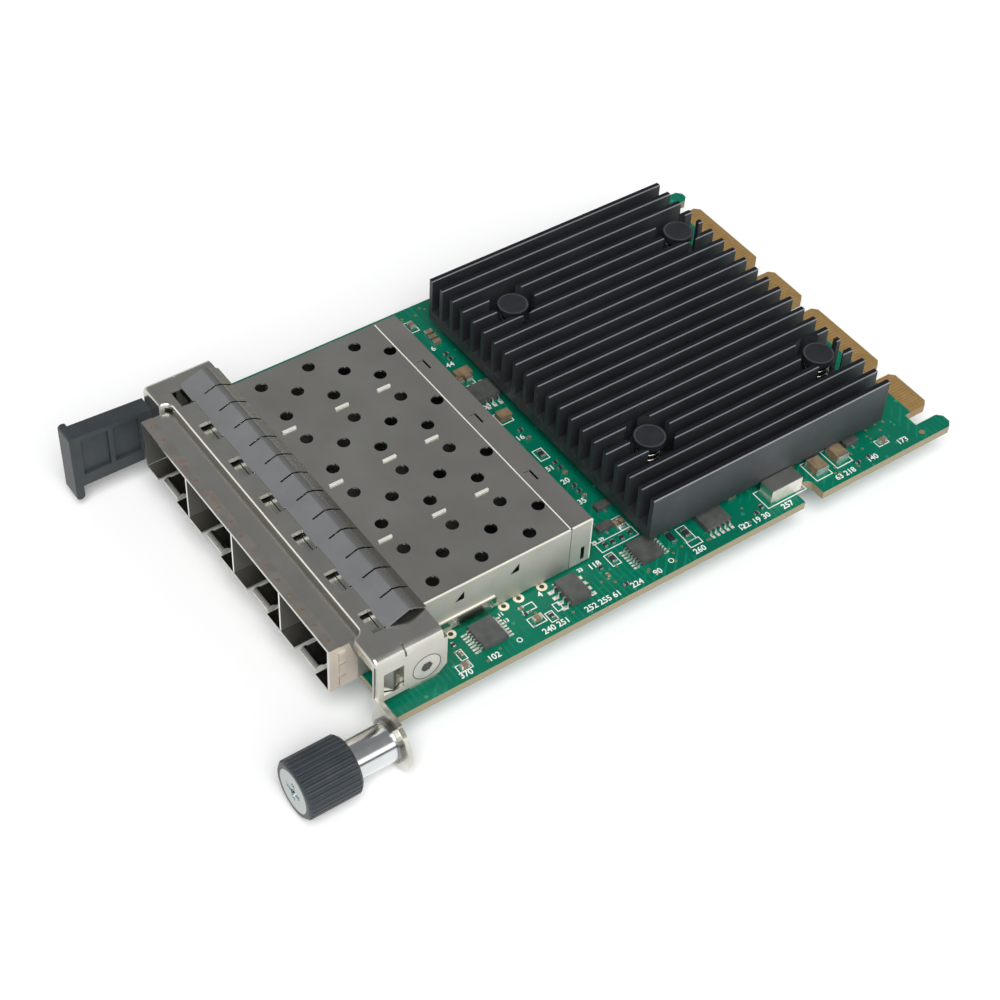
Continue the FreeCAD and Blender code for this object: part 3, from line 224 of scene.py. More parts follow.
metals = {
    # cage steel: painted shade inside the bays
    "cageSheet": {"dark": (0.55, 0.54, 0.49), "light": (0.66, 0.65, 0.60), "rough": (0.17, 0.28),
                  "cloudScale": 90, "grain": (3, 30, 3), "bump": 0.12, "sideRough": 0.38,
                  "paintedShadeWide": 28.35, "paintedShadeTop": 9.6, "inside": (0.18, 0.18, 0.165)},
    "coverSheet": {"dark": (0.58, 0.57, 0.52), "light": (0.68, 0.66, 0.61), "rough": (0.16, 0.26),
                   "cloudScale": 110, "grain": (30, 3, 3), "bump": 0.1, "sideRough": 0.4},
    "floorSheet": {"dark": (0.5, 0.49, 0.44), "light": (0.64, 0.62, 0.57), "rough": (0.14, 0.28),
                   "cloudScale": 160, "grain": (4, 25, 4), "bump": 0.12},
    "bracketSheet": {"dark": (0.56, 0.55, 0.50), "light": (0.68, 0.67, 0.62),
                     "rough": (0.18, 0.3), "cloudScale": 120, "grain": (25, 3, 3), "bump": 0.14,
                     "sideRough": 0.4},
    # divider steel: painted highlight, lighter and less glossy than the cage's so its tabs and
    # front edges look lit; painted shade inside the bays
    "litDividerSheet": {"dark": (0.8, 0.78, 0.72), "light": (0.9, 0.88, 0.82), "rough": (0.4, 0.55),
                 "metallic": 0.4, "cloudScale": 200, "grain": (4, 4, 4), "bump": 0.05,
                 "paintedShadeWide": 30, "paintedShadeTop": 9.6, "inside": (0.12, 0.12, 0.11)},
    # painted highlight: the light colour of the strips along folded edges
    "paintedEdgeHighlight": {"dark": (0.82, 0.79, 0.70), "light": (0.92, 0.89, 0.80), "rough": (0.35, 0.5),
                   "metallic": 0.25, "cloudScale": 200, "grain": (4, 4, 4), "bump": 0.05},
    "padSolder": {"dark": (0.60, 0.59, 0.54), "light": (0.86, 0.85, 0.80), "rough": (0.3, 0.45),
                  "metallic": 0.35, "cloudScale": 1500, "grain": (9, 9, 9), "bump": 0.3},
    "ringPlate": {"dark": (0.80, 0.70, 0.50), "light": (0.95, 0.88, 0.70), "rough": (0.3, 0.45),
                  "metallic": 0.3, "cloudScale": 800, "grain": (9, 9, 9), "bump": 0.1},
    # contact strip: painted shade on the fingers behind their crest (crest)
    "stripSheet": {"dark": (0.68, 0.70, 0.71), "light": (0.82, 0.84, 0.85), "rough": (0.14, 0.24),
                   "cloudScale": 140, "grain": (3, 30, 3), "bump": 0.02,
                   "crest": (6.9, 9.0, (0.42, 0.40, 0.35))},
    "screwMetal": {"dark": (0.60, 0.59, 0.55), "light": (0.72, 0.70, 0.65), "rough": (0.16, 0.26),
                   "cloudScale": 300, "grain": (6, 6, 6), "bump": 0.06, "sideRough": 0.4},
    "inductorBody": {"dark": (0.78, 0.75, 0.69), "light": (0.9, 0.87, 0.8), "rough": (0.25, 0.35),
                     "cloudScale": 300, "grain": (20, 20, 20), "bump": 0.2, "sideRough": 0.35},
    # painted shade: a dark copy of the steel for the side springs in the bracket's slots and the
    # ring where the sleeve meets the ear
    "paintedShadeSteel": {"dark": (0.16, 0.16, 0.15), "light": (0.3, 0.3, 0.28),
                        "rough": (0.2, 0.3), "cloudScale": 140, "grain": (3, 30, 3), "bump": 0.08},
    # painted shade: the sleeve's and thumbscrew's faces turned to the front are painted darker
    # (front)
    "zincMetal": {"dark": (0.64, 0.67, 0.68), "light": (0.74, 0.77, 0.78), "rough": (0.14, 0.2),
                  "cloudScale": 160, "grain": (3, 12, 3), "bump": 0.02, "front": (0.4, 0.44, 0.42)},
    "springMetal": {"dark": (0.2, 0.19, 0.17), "light": (0.32, 0.3, 0.27), "rough": (0.12, 0.2),
                    "cloudScale": 400, "grain": (5, 5, 5), "bump": 0.03},
    "tinMetal": {"dark": (0.7, 0.7, 0.67), "light": (0.92, 0.92, 0.88), "rough": (0.3, 0.45),
                 "cloudScale": 900, "grain": (9, 9, 9), "bump": 0.2},
    "goldPlate": {"dark": (0.4, 0.25, 0.09), "light": (0.54, 0.36, 0.15), "rough": (0.3, 0.42),
                  "metallic": 0.55, "cloudScale": 500, "grain": (12, 3, 12), "bump": 0.05},
    "weldCopper": {"dark": (0.58, 0.40, 0.30), "light": (0.70, 0.54, 0.44), "rough": (0.25, 0.4),
                   "cloudScale": 900, "grain": (6, 6, 6), "bump": 0.15},
}
plastics = {
    "socketPlastic": {"dark": (0.012, 0.012, 0.013), "light": (0.02, 0.02, 0.021),
                      "rough": (0.4, 0.6), "cloudScale": 300, "grainScale": 2500, "bump": 0.2},
    "tabPlastic": {"dark": (0.027, 0.034, 0.038), "light": (0.039, 0.048, 0.054),
                   "rough": (0.34, 0.52), "glare": 0.3, "cloudScale": 180, "grainScale": 3800,
                   "bump": 0.25},
    "gripPlastic": {"dark": (0.026, 0.032, 0.038), "light": (0.04, 0.048, 0.056),
                    "rough": (0.3, 0.48), "glare": 0.35, "cloudScale": 260, "grainScale": 3500,
                    "bump": 0.2},
    "pinPlastic": {"dark": (0.010, 0.012, 0.015), "light": (0.016, 0.019, 0.024),
                   "rough": (0.3, 0.45), "cloudScale": 400, "grainScale": 3000, "bump": 0.15},
    "chipPlastic": {"dark": (0.05, 0.053, 0.051), "light": (0.085, 0.089, 0.084),
                    "rough": (0.42, 0.62), "cloudScale": 600, "grainScale": 6000, "bump": 0.35},
    # painted highlight: a lighter plastic for the ring on each push-pin head's rim
    "pinHighlightPlastic": {"dark": (0.05, 0.055, 0.06), "light": (0.07, 0.076, 0.084),
                    "rough": (0.4, 0.5), "cloudScale": 400, "grainScale": 3000, "bump": 0.1},
    "padPaste": {"dark": (0.3, 0.31, 0.33), "light": (0.38, 0.39, 0.41), "rough": (0.6, 0.8),
                 "cloudScale": 400, "grainScale": 2500, "bump": 0.4},
    "tanCeramic": {"dark": (0.16, 0.105, 0.065), "light": (0.27, 0.2, 0.12), "rough": (0.3, 0.45),
                   "cloudScale": 800, "grainScale": 4000, "bump": 0.15},
    "darkCeramic": {"dark": (0.02, 0.021, 0.025), "light": (0.035, 0.036, 0.042),
                    "rough": (0.25, 0.4), "cloudScale": 900, "grainScale": 4500, "bump": 0.15},
    "whitePrint": {"dark": (0.7, 0.72, 0.7), "light": (0.8, 0.82, 0.8), "rough": (0.45, 0.6),
                   "cloudScale": 900, "grainScale": 5000, "bump": 0.15},
}
finishes = {name: metalFinish(name, look) for name, look in metals.items()}
finishes.update({name: plasticFinish(name, look) for name, look in plastics.items()})


# traces: scale and turn in degrees; lengths in mm
boardLook = {
    "mask": (0.001, 0.15, 0.087), "maskDeep": (0.001, 0.118, 0.068), "cloudScale": 60,
    "trace": (0.004, 0.175, 0.105), "traces": [(420, 0), (300, 45)], "traceArea": (0.54, 0.6),
    "brick": {"Mortar Size": 0.06, "Brick Width": 3.2, "Row Height": 0.45},
    "via": (0.03, 0.24, 0.14), "viaScale": 420, "viaEdge": (0.16, 0.12), "viaShare": 0.8,
    "core": (0.27, 0.23, 0.14), "rough": (0.2, 0.3), "glare": 0.3, "bump": 0.35,
    "tongue": (0.28, 0.17, 0.062), "tongueRim": 1.2, "tongueRoot": 0.2,
}


# rows of traces under the mask, each in patches of its own
def buriedTraces(tree, coords, look):
    traces = None
    for scale, turn in look["traces"]:
        mapping = tree.nodes.new("ShaderNodeMapping")
        mapping.inputs["Rotation"].default_value[2] = math.radians(turn)
        tree.links.new(coords, mapping.inputs["Vector"])
        bricks = tree.nodes.new("ShaderNodeTexBrick")
        bricks.inputs["Scale"].default_value = scale
        for socket, value in look["brick"].items():
            bricks.inputs[socket].default_value = value
        tree.links.new(mapping.outputs["Vector"], bricks.inputs["Vector"])
        area = fade(tree, noise(tree, coords, 55 + scale / 10, 1), *look["traceArea"])
        part = product(tree, bricks.outputs["Fac"], area)
        traces = part if traces is None else arithmetic(tree, "MAXIMUM", traces, part)
    return traces


# where the card edge's tongues are, which have no green mask
def tonguePlace(tree, coords, look):
    place = axes(tree, coords)
    low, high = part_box("edge_contacts")
    rim = look["tongueRim"] * mm
    tongue = arithmetic(tree, "GREATER_THAN", place["Y"], low[1] - look["tongueRoot"] * mm)
    for sign, end in ((1, low[0] - rim), (-1, high[0] + rim)):
        inside = arithmetic(tree, "GREATER_THAN", product(tree, place["X"], sign), sign * end)
        tongue = product(tree, tongue, inside)
    return tongue


# solder mask with buried traces and vias, a bare laminate edge, tan tongues
def boardFinish(look):
    material, tree, shader, coords = startMaterial("boardMask")
    cloud = noise(tree, coords, look["cloudScale"])
    color = ramp(tree, cloud, [(darkest, look["maskDeep"]), (lightest, look["mask"])])
    traces = buriedTraces(tree, coords, look)
    color = mixColor(tree, traces, color, look["trace"])
    dots = tree.nodes.new("ShaderNodeTexVoronoi")
    dots.inputs["Scale"].default_value = look["viaScale"]
    tree.links.new(stretched(tree, coords, (1, 1, 0)), dots.inputs["Vector"])
    via = fade(tree, dots.outputs["Distance"], *look["viaEdge"])
    color = mixColor(tree, product(tree, via, look["viaShare"]), color, look["via"])
    upright = arithmetic(tree, "LESS_THAN", absolute(tree, normals(tree)["Z"]), 0.5)
    color = mixColor(tree, upright, color, look["core"])
    color = mixColor(tree, tonguePlace(tree, coords, look), color, look["tongue"])
    tree.links.new(color, shader.inputs["Base Color"])
    tree.links.new(spread(tree, cloud, *look["rough"]), shader.inputs["Roughness"])
    shader.inputs["Specular IOR Level"].default_value = look["glare"]
    bump(tree, shader, arithmetic(tree, "ADD", traces, via), look["bump"], 0.03)
    return material


# lengths in mm: the fins' rhythm along x, the height where the tips' painted shade begins, and the
# painted highlight edge
sinkLook = {
    "firstFin": 31.4, "pitch": 3.13, "thick": 0.9, "tipLow": 11.44, "edgeLow": 11.33,
    "edgeIn": 0.16, "edgeOut": 0.05, "metallic": 0.65, "cloudScale": 120, "grain": (40, 3, 40),
    "dark": (0.05, 0.056, 0.062), "light": (0.075, 0.083, 0.09), "tipShadeColor": (0.018, 0.02, 0.028),
    "edgeHighlightColor": (0.42, 0.44, 0.48), "rough": (0.32, 0.5), "bump": 0.1,
}


# dark anodised block, with painted shade on the fin tips and a painted highlight along the edge of
# each fin tip
def sinkFinish(look):
    material, tree, shader, coords = startMaterial("sinkAnodised")
    shader.inputs["Metallic"].default_value = look["metallic"]
    cloud = noise(tree, coords, look["cloudScale"])
    grain = noise(tree, stretched(tree, coords, look["grain"]), brushed, brushedDetail)
    color = ramp(tree, cloud, [(darkest, look["dark"]), (lightest, look["light"])])
    place = axes(tree, coords)
    tips = arithmetic(tree, "GREATER_THAN", place["Z"], look["tipLow"] * mm)
    color = mixColor(tree, tips, color, look["tipShadeColor"])
    fromFirst = arithmetic(tree, "ADD", place["X"], look["firstFin"] * mm)
    across = arithmetic(tree, "MODULO", fromFirst, look["pitch"] * mm)
    edge = product(
        tree,
        arithmetic(tree, "GREATER_THAN", across, (look["thick"] - look["edgeIn"]) * mm),
        arithmetic(tree, "LESS_THAN", across, (look["thick"] + look["edgeOut"]) * mm),
        arithmetic(tree, "GREATER_THAN", place["Z"], look["edgeLow"] * mm))
    color = mixColor(tree, edge, color, look["edgeHighlightColor"])
    tree.links.new(color, shader.inputs["Base Color"])
    tree.links.new(spread(tree, grain, *look["rough"]), shader.inputs["Roughness"])
    bump(tree, shader, grain, look["bump"], 0.04)
    return material


collarLook = {
    "stains": [(0.35, (0.56, 0.53, 0.48)), (0.56, (0.66, 0.62, 0.56)), (0.72, (0.62, 0.46, 0.36))],
    "cloudScale": 260, "side": (0.88, 0.80, 0.72), "sideRough": 0.35, "rough": (0.22, 0.42),
}


# nose collar with coppery welding stains, duller on its sides, where painted light makes it paler
def collarFinish(look):
    material, tree, shader, coords = startMaterial("collarStained")
    shader.inputs["Metallic"].default_value = 1
    cloud = noise(tree, coords, look["cloudScale"], 5)
    stains = ramp(tree, cloud, look["stains"])
    sideways = arithmetic(tree, "GREATER_THAN", absolute(tree, normals(tree)["X"]), squarely)
    # painted light: the sides get a paler colour
    color = mixColor(tree, sideways, stains, look["side"])
    tree.links.new(color, shader.inputs["Base Color"])
    dull = product(tree, sideways, look["sideRough"])
    rough = arithmetic(tree, "ADD", spread(tree, cloud, *look["rough"]), dull)
    tree.links.new(rough, shader.inputs["Roughness"])
    return material


finishes["board"] = boardFinish(boardLook)
finishes["sink"] = sinkFinish(sinkLook)
finishes["collar"] = collarFinish(collarLook)
dressed = {
    "board": ["circuit_board"], "sink": ["heatsink"], "collar": ["nose_collar"],
    "cageSheet": ["cage_shell"], "coverSheet": ["cage_rear_cover"], "floorSheet": ["cage_floor"],
    "bracketSheet": ["bracket"], "stripSheet": ["contact_strip"],
    "paintedShadeSteel": ["side_spring_far", "side_spring_near"],
    "litDividerSheet": [f"cage_divider_{k}" for k in (1, 2, 3)],
    "screwMetal": ["bracket_screws", "bracket_block_far", "bracket_block_near", "pull_tab_screw",
                   "retaining_ring"],
    "zincMetal": ["thumbscrew_sleeve", "thumbscrew"],
    "springMetal": ["thumbscrew_spring", "push_pin_springs"],
    "goldPlate": ["edge_contacts", "socket_terminals"], "tinMetal": ["chip_leads"],
    "socketPlastic": [f"module_socket_{k}" for k in (1, 2, 3, 4)],
    "tabPlastic": ["pull_tab"], "gripPlastic": ["thumbscrew_grip"], "pinPlastic": ["push_pins"],
    "chipPlastic": ["network_chip", "port_driver_chip", "memory_chip", "monitor_chip",
                    "regulator_chip", "flash_chip"],
    "padPaste": ["thermal_pad"], "inductorBody": ["power_inductor"],
    "tanCeramic": ["capacitors"], "darkCeramic": ["resistors"],
}
for finish, names in dressed.items():
    for name in names:
        for holder in nodes[name].material_slots:
            holder.material = finishes[finish]
print("materials set")


# pieces

def finishPiece(name, shape, finish, body):
    mesh = bpy.data.meshes.new(name)
    bmesh.ops.recalc_face_normals(shape, faces=shape.faces)
    shape.to_mesh(mesh)
    shape.free()
    piece = bpy.data.objects.new(name, mesh)
    bpy.context.scene.collection.objects.link(piece)
    mesh.materials.append(finishes[finish])
    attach(piece, body)
    return piece


def addBlock(shape, low, high, edge=0.0):
    low, high = Vector(low) * mm, Vector(high) * mm
    place = Matrix.Translation((low + high) / 2) @ Matrix.Diagonal((*(high - low), 1))
    made = bmesh.ops.create_cube(shape, size=1, matrix=place)
    if edge:
        edges = list({e for v in made["verts"] for e in v.link_edges})
        bmesh.ops.bevel(shape, geom=edges, offset=edge * mm, affect="EDGES", segments=2,
                        profile=0.5, material=-1)


def addDisc(shape, centre, radius, height, sides=20, top=None):
    place = Matrix.Translation(Vector(centre) * mm + Vector((0, 0, height * mm / 2)))
    top = radius if top is None else top
    bmesh.ops.create_cone(shape, cap_ends=True, segments=sides, radius1=radius * mm,
                          radius2=top * mm, depth=height * mm, matrix=place)


def addRing(shape, centre, inner, outer, height, sides=24):
    x, y, z = centre
    profile = ((inner, 0), (outer, 0), (outer, height), (inner, height))
    corners = [shape.verts.new(Vector((x + r, y, z + h)) * mm) for r, h in profile]
    edges = [shape.edges.new((corners[k], corners[(k + 1) % 4])) for k in range(4)]
    bmesh.ops.spin(shape, geom=corners + edges, cent=Vector(centre) * mm, axis=(0, 0, 1),
                   dvec=(0, 0, 0), angle=math.tau, steps=sides, use_merge=True)


# print on the board, in mm. boxes: middle x, middle y, size x, size y; numbers: text, x, y
printLook = {
    "line": 0.16, "thick": 0.015, "circle": 0.34, "high": 1.55, "smallHigh": 1.0, "heavier": 0.03,
    "boxes": [(33.75, 79.1, 4.2, 8.4), (33.2, 87.7, 4.6, 3.6), (32.8, 92.6, 4.6, 3.6),
              (34.1, 28.7, 2.0, 2.8), (34.8, 31.1, 2.2, 1.5), (33.7, 33.1, 1.8, 1.3),
              (32.6, 59.8, 3.4, 2.0), (34.9, 59.9, 1.4, 2.6), (24.9, 52.3, 3.0, 1.8),
              (-16.9, 50.2, 4.0, 2.6), (-5.6, 50.4, 3.0, 2.6), (5.1, 50.6, 2.8, 2.0),
              (-33.3, 49.9, 3.0, 1.8), (27.45, 49.6, 2.2, 7.6), (30.5, 46.4, 2.8, 1.8),
              (31.3, 29.0, 1.5, 2.6), (35.5, 13.9, 1.6, 2.6), (33.4, 14.8, 2.2, 1.3),
              (34.4, 101.5, 1.6, 2.4)],
    "pairs": [(-31.0, "17"), (-29.4, "28"), (-24.8, "31"), (-19.9, "55"), (-14.4, "62"),
              (-8.4, "70"), (-3.2, "74"), (2.6, "81"), (7.2, "88"), (11.9, "93"), (16.2, "97"),
              (19.4, "15"), (22.9, "26"), (26.4, "39")],
    "pairRows": (46.0, 47.5),
    "small": [("11", 30.4, 24.6), ("13", 31.9, 24.6), ("21", 30.2, 35.4), ("23", 29.8, 40.6)],
    "circles": [(35.9, 24.1), (35.9, 54.2), (36.4, 68.6), (-9.4, 49.0)],
    "numbers": [("102", 36.9, 18.9), ("370", 37.3, 13.4), ("240 251", 37.2, 30.6),
                ("252 255 61", 37.2, 39.8), ("224", 37.2, 46.6), ("90", 37.1, 50.9),
                ("4", 30.6, 32.2), ("118", 30.4, 43.2), ("260", 37.1, 59.6), ("7", 29.6, 60.0),
                ("122", 37.1, 69.0), ("19 30", 37.2, 72.6), ("63 218", 37.2, 91.2),
                ("140", 36.9, 97.6), ("135", 18.0, 49.6), ("12", 22.2, 47.2), ("51", 9.0, 50.0),
                ("16", 0.4, 50.0), ("3", -9.0, 50.0), ("44", -21.0, 50.2), ("6", -26.0, 50.0),
                ("20", 12.8, 50.4), ("173", 36.6, 104.8), ("1", -35.8, 60.2), ("38", -36.2, 99.0),
                ("257", 37.3, 78.2)],
}


def boardPrint(look):
    shape = bmesh.new()
    line, top = look["line"], look["thick"]
    for x, y, wide, deep in look["boxes"]:
        left, right, front, rear = x - wide / 2, x + wide / 2, y - deep / 2, y + deep / 2
        addBlock(shape, (left, front, 0), (right, front + line, top))
        addBlock(shape, (left, rear - line, 0), (right, rear, top))
        addBlock(shape, (left, front + line, 0), (left + line, rear - line, top))
        addBlock(shape, (right - line, front + line, 0), (right, rear - line, top))
    for x, y in look["circles"]:
        addRing(shape, (x, y, 0), look["circle"], look["circle"] + line, top)
    rows = [(text, x, y, look["high"]) for text, x, y in look["numbers"]]
    small = [(text, x, y) for x, text in look["pairs"] for y in look["pairRows"]] + look["small"]
    rows += [(text, x, y, look["smallHigh"]) for text, x, y in small]
    for text, x, y, high in rows:
        curve = bpy.data.curves.new("boardNumber", "FONT")
        curve.body = text
        curve.size = high * mm
        curve.offset = look["heavier"] * mm
        curve.extrude = top * mm / 2
        curve.align_x = "CENTER"
        curve.resolution_u = 3
        holder = bpy.data.objects.new("boardNumber", curve)
        bpy.context.scene.collection.objects.link(holder)
        bpy.context.view_layer.update()
        mesh = bpy.data.meshes.new_from_object(holder)
        place = Matrix.Translation(Vector((x, y, top / 2)) * mm)
        mesh.transform(place @ Matrix.Rotation(math.pi / 2, 4, "Z"))
        shape.from_mesh(mesh)
        bpy.data.objects.remove(holder)
        bpy.data.meshes.remove(mesh)
    finishPiece("board_print", shape, "whitePrint", "card")


boardPrint(printLook)


# plated rings round the cage legs, with painted shade in their holes, fiducials and vias, in mm
plating = {
    "rings": [(x * side, y) for side in (-1, 1)
              for x, y in ((29.05, 15.8), (28.95, 25.95), (28.9, 28.9), (28.95, 33.4))],
    "ring": (0.42, 0.92, 0.03), "holeShadeHigh": 0.02,
    "marks": [(36.47, 109.07), (-36.47, 109.07)], "markRadius": 0.5, "markHigh": 0.02,
    "vias": 150, "via": (0.13, 0.24, 0.015), "nearStrip": (30.2, 37.0), "farStrip": (-36.8, -33.0),
    "stripEnds": (13, 106), "inductor": (30, 74, 84), "seed": 7,
}


def boardPlating(look):
    rings, holeShade, shape = bmesh.new(), bmesh.new(), bmesh.new()
    for x, y in look["rings"]:
        addRing(rings, (x, y, 0), *look["ring"])
        # painted shade: a dark disc in each ring's hole
        addDisc(holeShade, (x, y, 0), look["ring"][0], look["holeShadeHigh"])
    finishPiece("leg_rings", rings, "ringPlate", "card")
    finishPiece("leg_hole_shade", holeShade, "darkCeramic", "card")
    for x, y in look["marks"]:
        addDisc(shape, (x, y, 0), look["markRadius"], look["markHigh"])
    random.seed(look["seed"])
    side, front, rear = look["inductor"]
    for _ in range(look["vias"]):
        x = random.choice((random.uniform(*look["nearStrip"]), random.uniform(*look["farStrip"])))
        y = random.uniform(*look["stripEnds"])
        if front < y < rear and x > side:  # none under the inductor
            continue
        addRing(shape, (x, y, 0), *look["via"], sides=10)
    finishPiece("board_plating", shape, "goldPlate", "card")


boardPlating(plating)

# small parts, in mm: middle x, middle y, length, width, height, the way they lie, finish
smallParts = [
    (24.9, 52.4, 1.6, 0.8, 0.8, "X", "tan"), (24.9, 51.3, 1.6, 0.8, 0.8, "X", "tan"),
    (32.6, 59.8, 1.8, 0.9, 0.5, "X", "dark"), (29.6, 57.1, 1.6, 0.8, 0.8, "X", "tan"),
    (-16.9, 50.6, 2.0, 1.2, 1.1, "X", "tan"), (-16.9, 49.2, 1.6, 0.8, 0.8, "X", "tan"),
    (-5.6, 50.9, 1.6, 0.8, 0.8, "X", "tan"), (-5.6, 49.7, 1.6, 0.8, 0.8, "X", "tan"),
    (5.1, 50.6, 1.6, 0.8, 0.5, "X", "dark"), (8.0, 51.4, 1.0, 0.5, 0.4, "Y", "dark"),
    (9.4, 51.4, 1.0, 0.5, 0.4, "Y", "dark"), (10.8, 51.4, 1.0, 0.5, 0.5, "Y", "tan"),
    (14.0, 50.9, 1.0, 0.5, 0.4, "Y", "dark"), (15.4, 50.9, 1.0, 0.5, 0.4, "Y", "dark"),
    (16.8, 50.9, 1.0, 0.5, 0.5, "Y", "tan"), (-1.4, 51.0, 1.0, 0.5, 0.4, "Y", "dark"),
    (0.9, 51.0, 1.0, 0.5, 0.5, "Y", "tan"), (-22.6, 51.0, 1.0, 0.5, 0.4, "Y", "dark"),
    (-24.0, 51.0, 1.0, 0.5, 0.4, "Y", "dark"), (-27.3, 51.4, 1.6, 0.8, 0.8, "Y", "tan"),
    (-28.7, 51.4, 1.6, 0.8, 0.8, "Y", "tan"), (-30.1, 51.4, 1.6, 0.8, 0.8, "Y", "tan"),
    (27.45, 47.2, 1.0, 0.5, 0.4, "X", "dark"), (27.45, 52.2, 1.0, 0.5, 0.4, "X", "dark"),
    (30.4, 71.2, 1.6, 0.8, 0.8, "Y", "tan"), (35.6, 72.4, 1.0, 0.5, 0.4, "Y", "dark"),
    (34.9, 74.0, 1.0, 0.5, 0.4, "X", "dark"), (36.0, 44.9, 1.0, 0.5, 0.4, "Y", "dark"),
    (31.0, 43.6, 1.0, 0.5, 0.4, "X", "dark"), (33.0, 43.6, 1.0, 0.5, 0.5, "X", "tan"),
    (31.0, 27.8, 1.0, 0.5, 0.5, "Y", "tan"), (32.3, 27.8, 1.0, 0.5, 0.4, "Y", "dark"),
    (31.2, 14.8, 1.0, 0.5, 0.4, "X", "dark"), (33.4, 14.8, 1.0, 0.5, 0.5, "X", "tan"),
    (35.6, 13.9, 1.6, 0.8, 0.8, "Y", "tan"), (34.4, 101.5, 1.6, 0.8, 0.8, "Y", "tan"),
    (36.0, 94.6, 1.0, 0.5, 0.4, "Y", "dark"), (36.0, 97.0, 1.0, 0.5, 0.4, "Y", "dark"),
    (-34.8, 63.0, 1.6, 0.8, 0.8, "Y", "tan"), (-34.8, 72.0, 1.6, 0.8, 0.8, "Y", "tan"),
    (-34.8, 81.0, 1.6, 0.8, 0.8, "Y", "tan"), (-34.4, 92.0, 1.0, 0.5, 0.4, "Y", "dark"),
]
# the larger ones are in the card's own solids: these only get their metal ends
largerParts = [
    (33.2, 87.7, 3.2, 2.4, 1.6, "X"), (32.8, 92.6, 3.2, 2.4, 1.6, "X"),
    (-33.3, 49.9, 1.6, 0.9, 0.8, "X"), (34.1, 28.7, 1.6, 0.9, 0.8, "Y"),
    (34.8, 31.1, 1.0, 0.6, 0.4, "X"), (30.5, 46.4, 1.6, 0.8, 0.5, "X"),
    (27.6, 48.6, 1.0, 0.6, 0.4, "X"), (27.6, 50.4, 1.0, 0.6, 0.4, "X"),
    (25.0, 52.0, 2.0, 0.8, 0.5, "X"), (32.0, 57.1, 2.4, 0.9, 0.5, "X"),
]
smallLook = {"cap": 0.24, "capLimit": 1.6, "proud": 0.03, "edge": 0.05}


def placeSmallParts(parts, larger, look):
    shapes = {"tan": bmesh.new(), "dark": bmesh.new(), "ends": bmesh.new()}
    grow = look["proud"]
    for x, y, long, wide, high, way, kind in parts + [(*row, "") for row in larger]:
        size = (long, wide) if way == "X" else (wide, long)
        cap = look["cap"] * min(look["capLimit"], long)
        if kind:
            cut = (cap, 0) if way == "X" else (0, cap)
            inner = (size[0] / 2 - cut[0], size[1] / 2 - cut[1])
            addBlock(shapes[kind], (x - inner[0], y - inner[1], 0),
                     (x + inner[0], y + inner[1], high))
        for side in (-1, 1):
            middle = x if way == "X" else y
            near = middle + side * (long / 2 + (0 if kind else grow))
            along = sorted((near, near - side * cap))
            across = [(y if way == "X" else x) + k * (wide / 2 + grow) for k in (-1, 1)]
            spans = (along, across) if way == "X" else (across, along)
            low, top = ((*(span[k] for span in spans), (high + grow) * k) for k in (0, 1))
            addBlock(shapes["ends"], low, top, look["edge"])
    finishPiece("small_capacitors", shapes["tan"], "tanCeramic", "card")
    finishPiece("small_resistors", shapes["dark"], "darkCeramic", "card")
    finishPiece("part_ends", shapes["ends"], "tinMetal", "card")


placeSmallParts(smallParts, largerParts, smallLook)

# small three-leg parts, in mm; legs: side and offset along it
transistors = {
    "places": [(20.4, 51.8), (24.4, 49.2), (31.7, 96.5)], "size": (1.4, 2.8, 1.0),
    "lift": 0.1, "edge": 0.08, "legs": [(-1, -0.9), (-1, 0.9), (1, 0.0)],
    "legLong": 0.6, "legWide": 0.4, "legHigh": 0.16, "legEdge": 0.04,
}


def placeTransistors(look):
    bodies, legs = bmesh.new(), bmesh.new()
    wide, long, high = look["size"]
    for x, y in look["places"]:
        addBlock(bodies, (x - wide / 2, y - long / 2, look["lift"]),
                 (x + wide / 2, y + long / 2, high), look["edge"])
        for side, offset in look["legs"]:
            root = x + side * wide / 2
            left, right = sorted((root, root + side * look["legLong"]))
            front, rear = (y + offset + k * look["legWide"] / 2 for k in (-1, 1))
            addBlock(legs, (left, front, 0), (right, rear, look["legHigh"]), look["legEdge"])
    finishPiece("small_transistors", bodies, "chipPlastic", "card")
    finishPiece("transistor_legs", legs, "tinMetal", "card")


placeTransistors(transistors)

# inductor terminals and rim, push-pin rings with a painted highlight, a ring of painted shade at
# the sleeve's shoulder where it meets the ear, and weld spots, in mm
trim = {
    "inductor": ((33.75, 79.1), (3.0, 6.6)), "proud": 0.03, "wrap": 1.1,
    "terminalHigh": 0.7, "terminalEdge": 0.06,
    "rim": 2.92, "rimWide": 0.2, "rimProud": 0.02, "rimShort": 0.15, "rimEdge": 0.04,
    "pins": [(-18.9, 61.3), (-18.9, 98.0), (19.6, 61.3), (19.6, 98.0)],
    "pinTop": 10.9, "pinHighlightRing": (2.42, 2.56, 0.015, 40),
    "ear": (39.5, -2.2, -2.2), "shoulder": (3.2, 3.75, 0.5, 40),
    "welds": 16, "firstWeld": (-26.7, -5.05, 9.95), "weldPitch": 3.56,
    "weld": (0.42, 0.03, 16, 0.3),
}


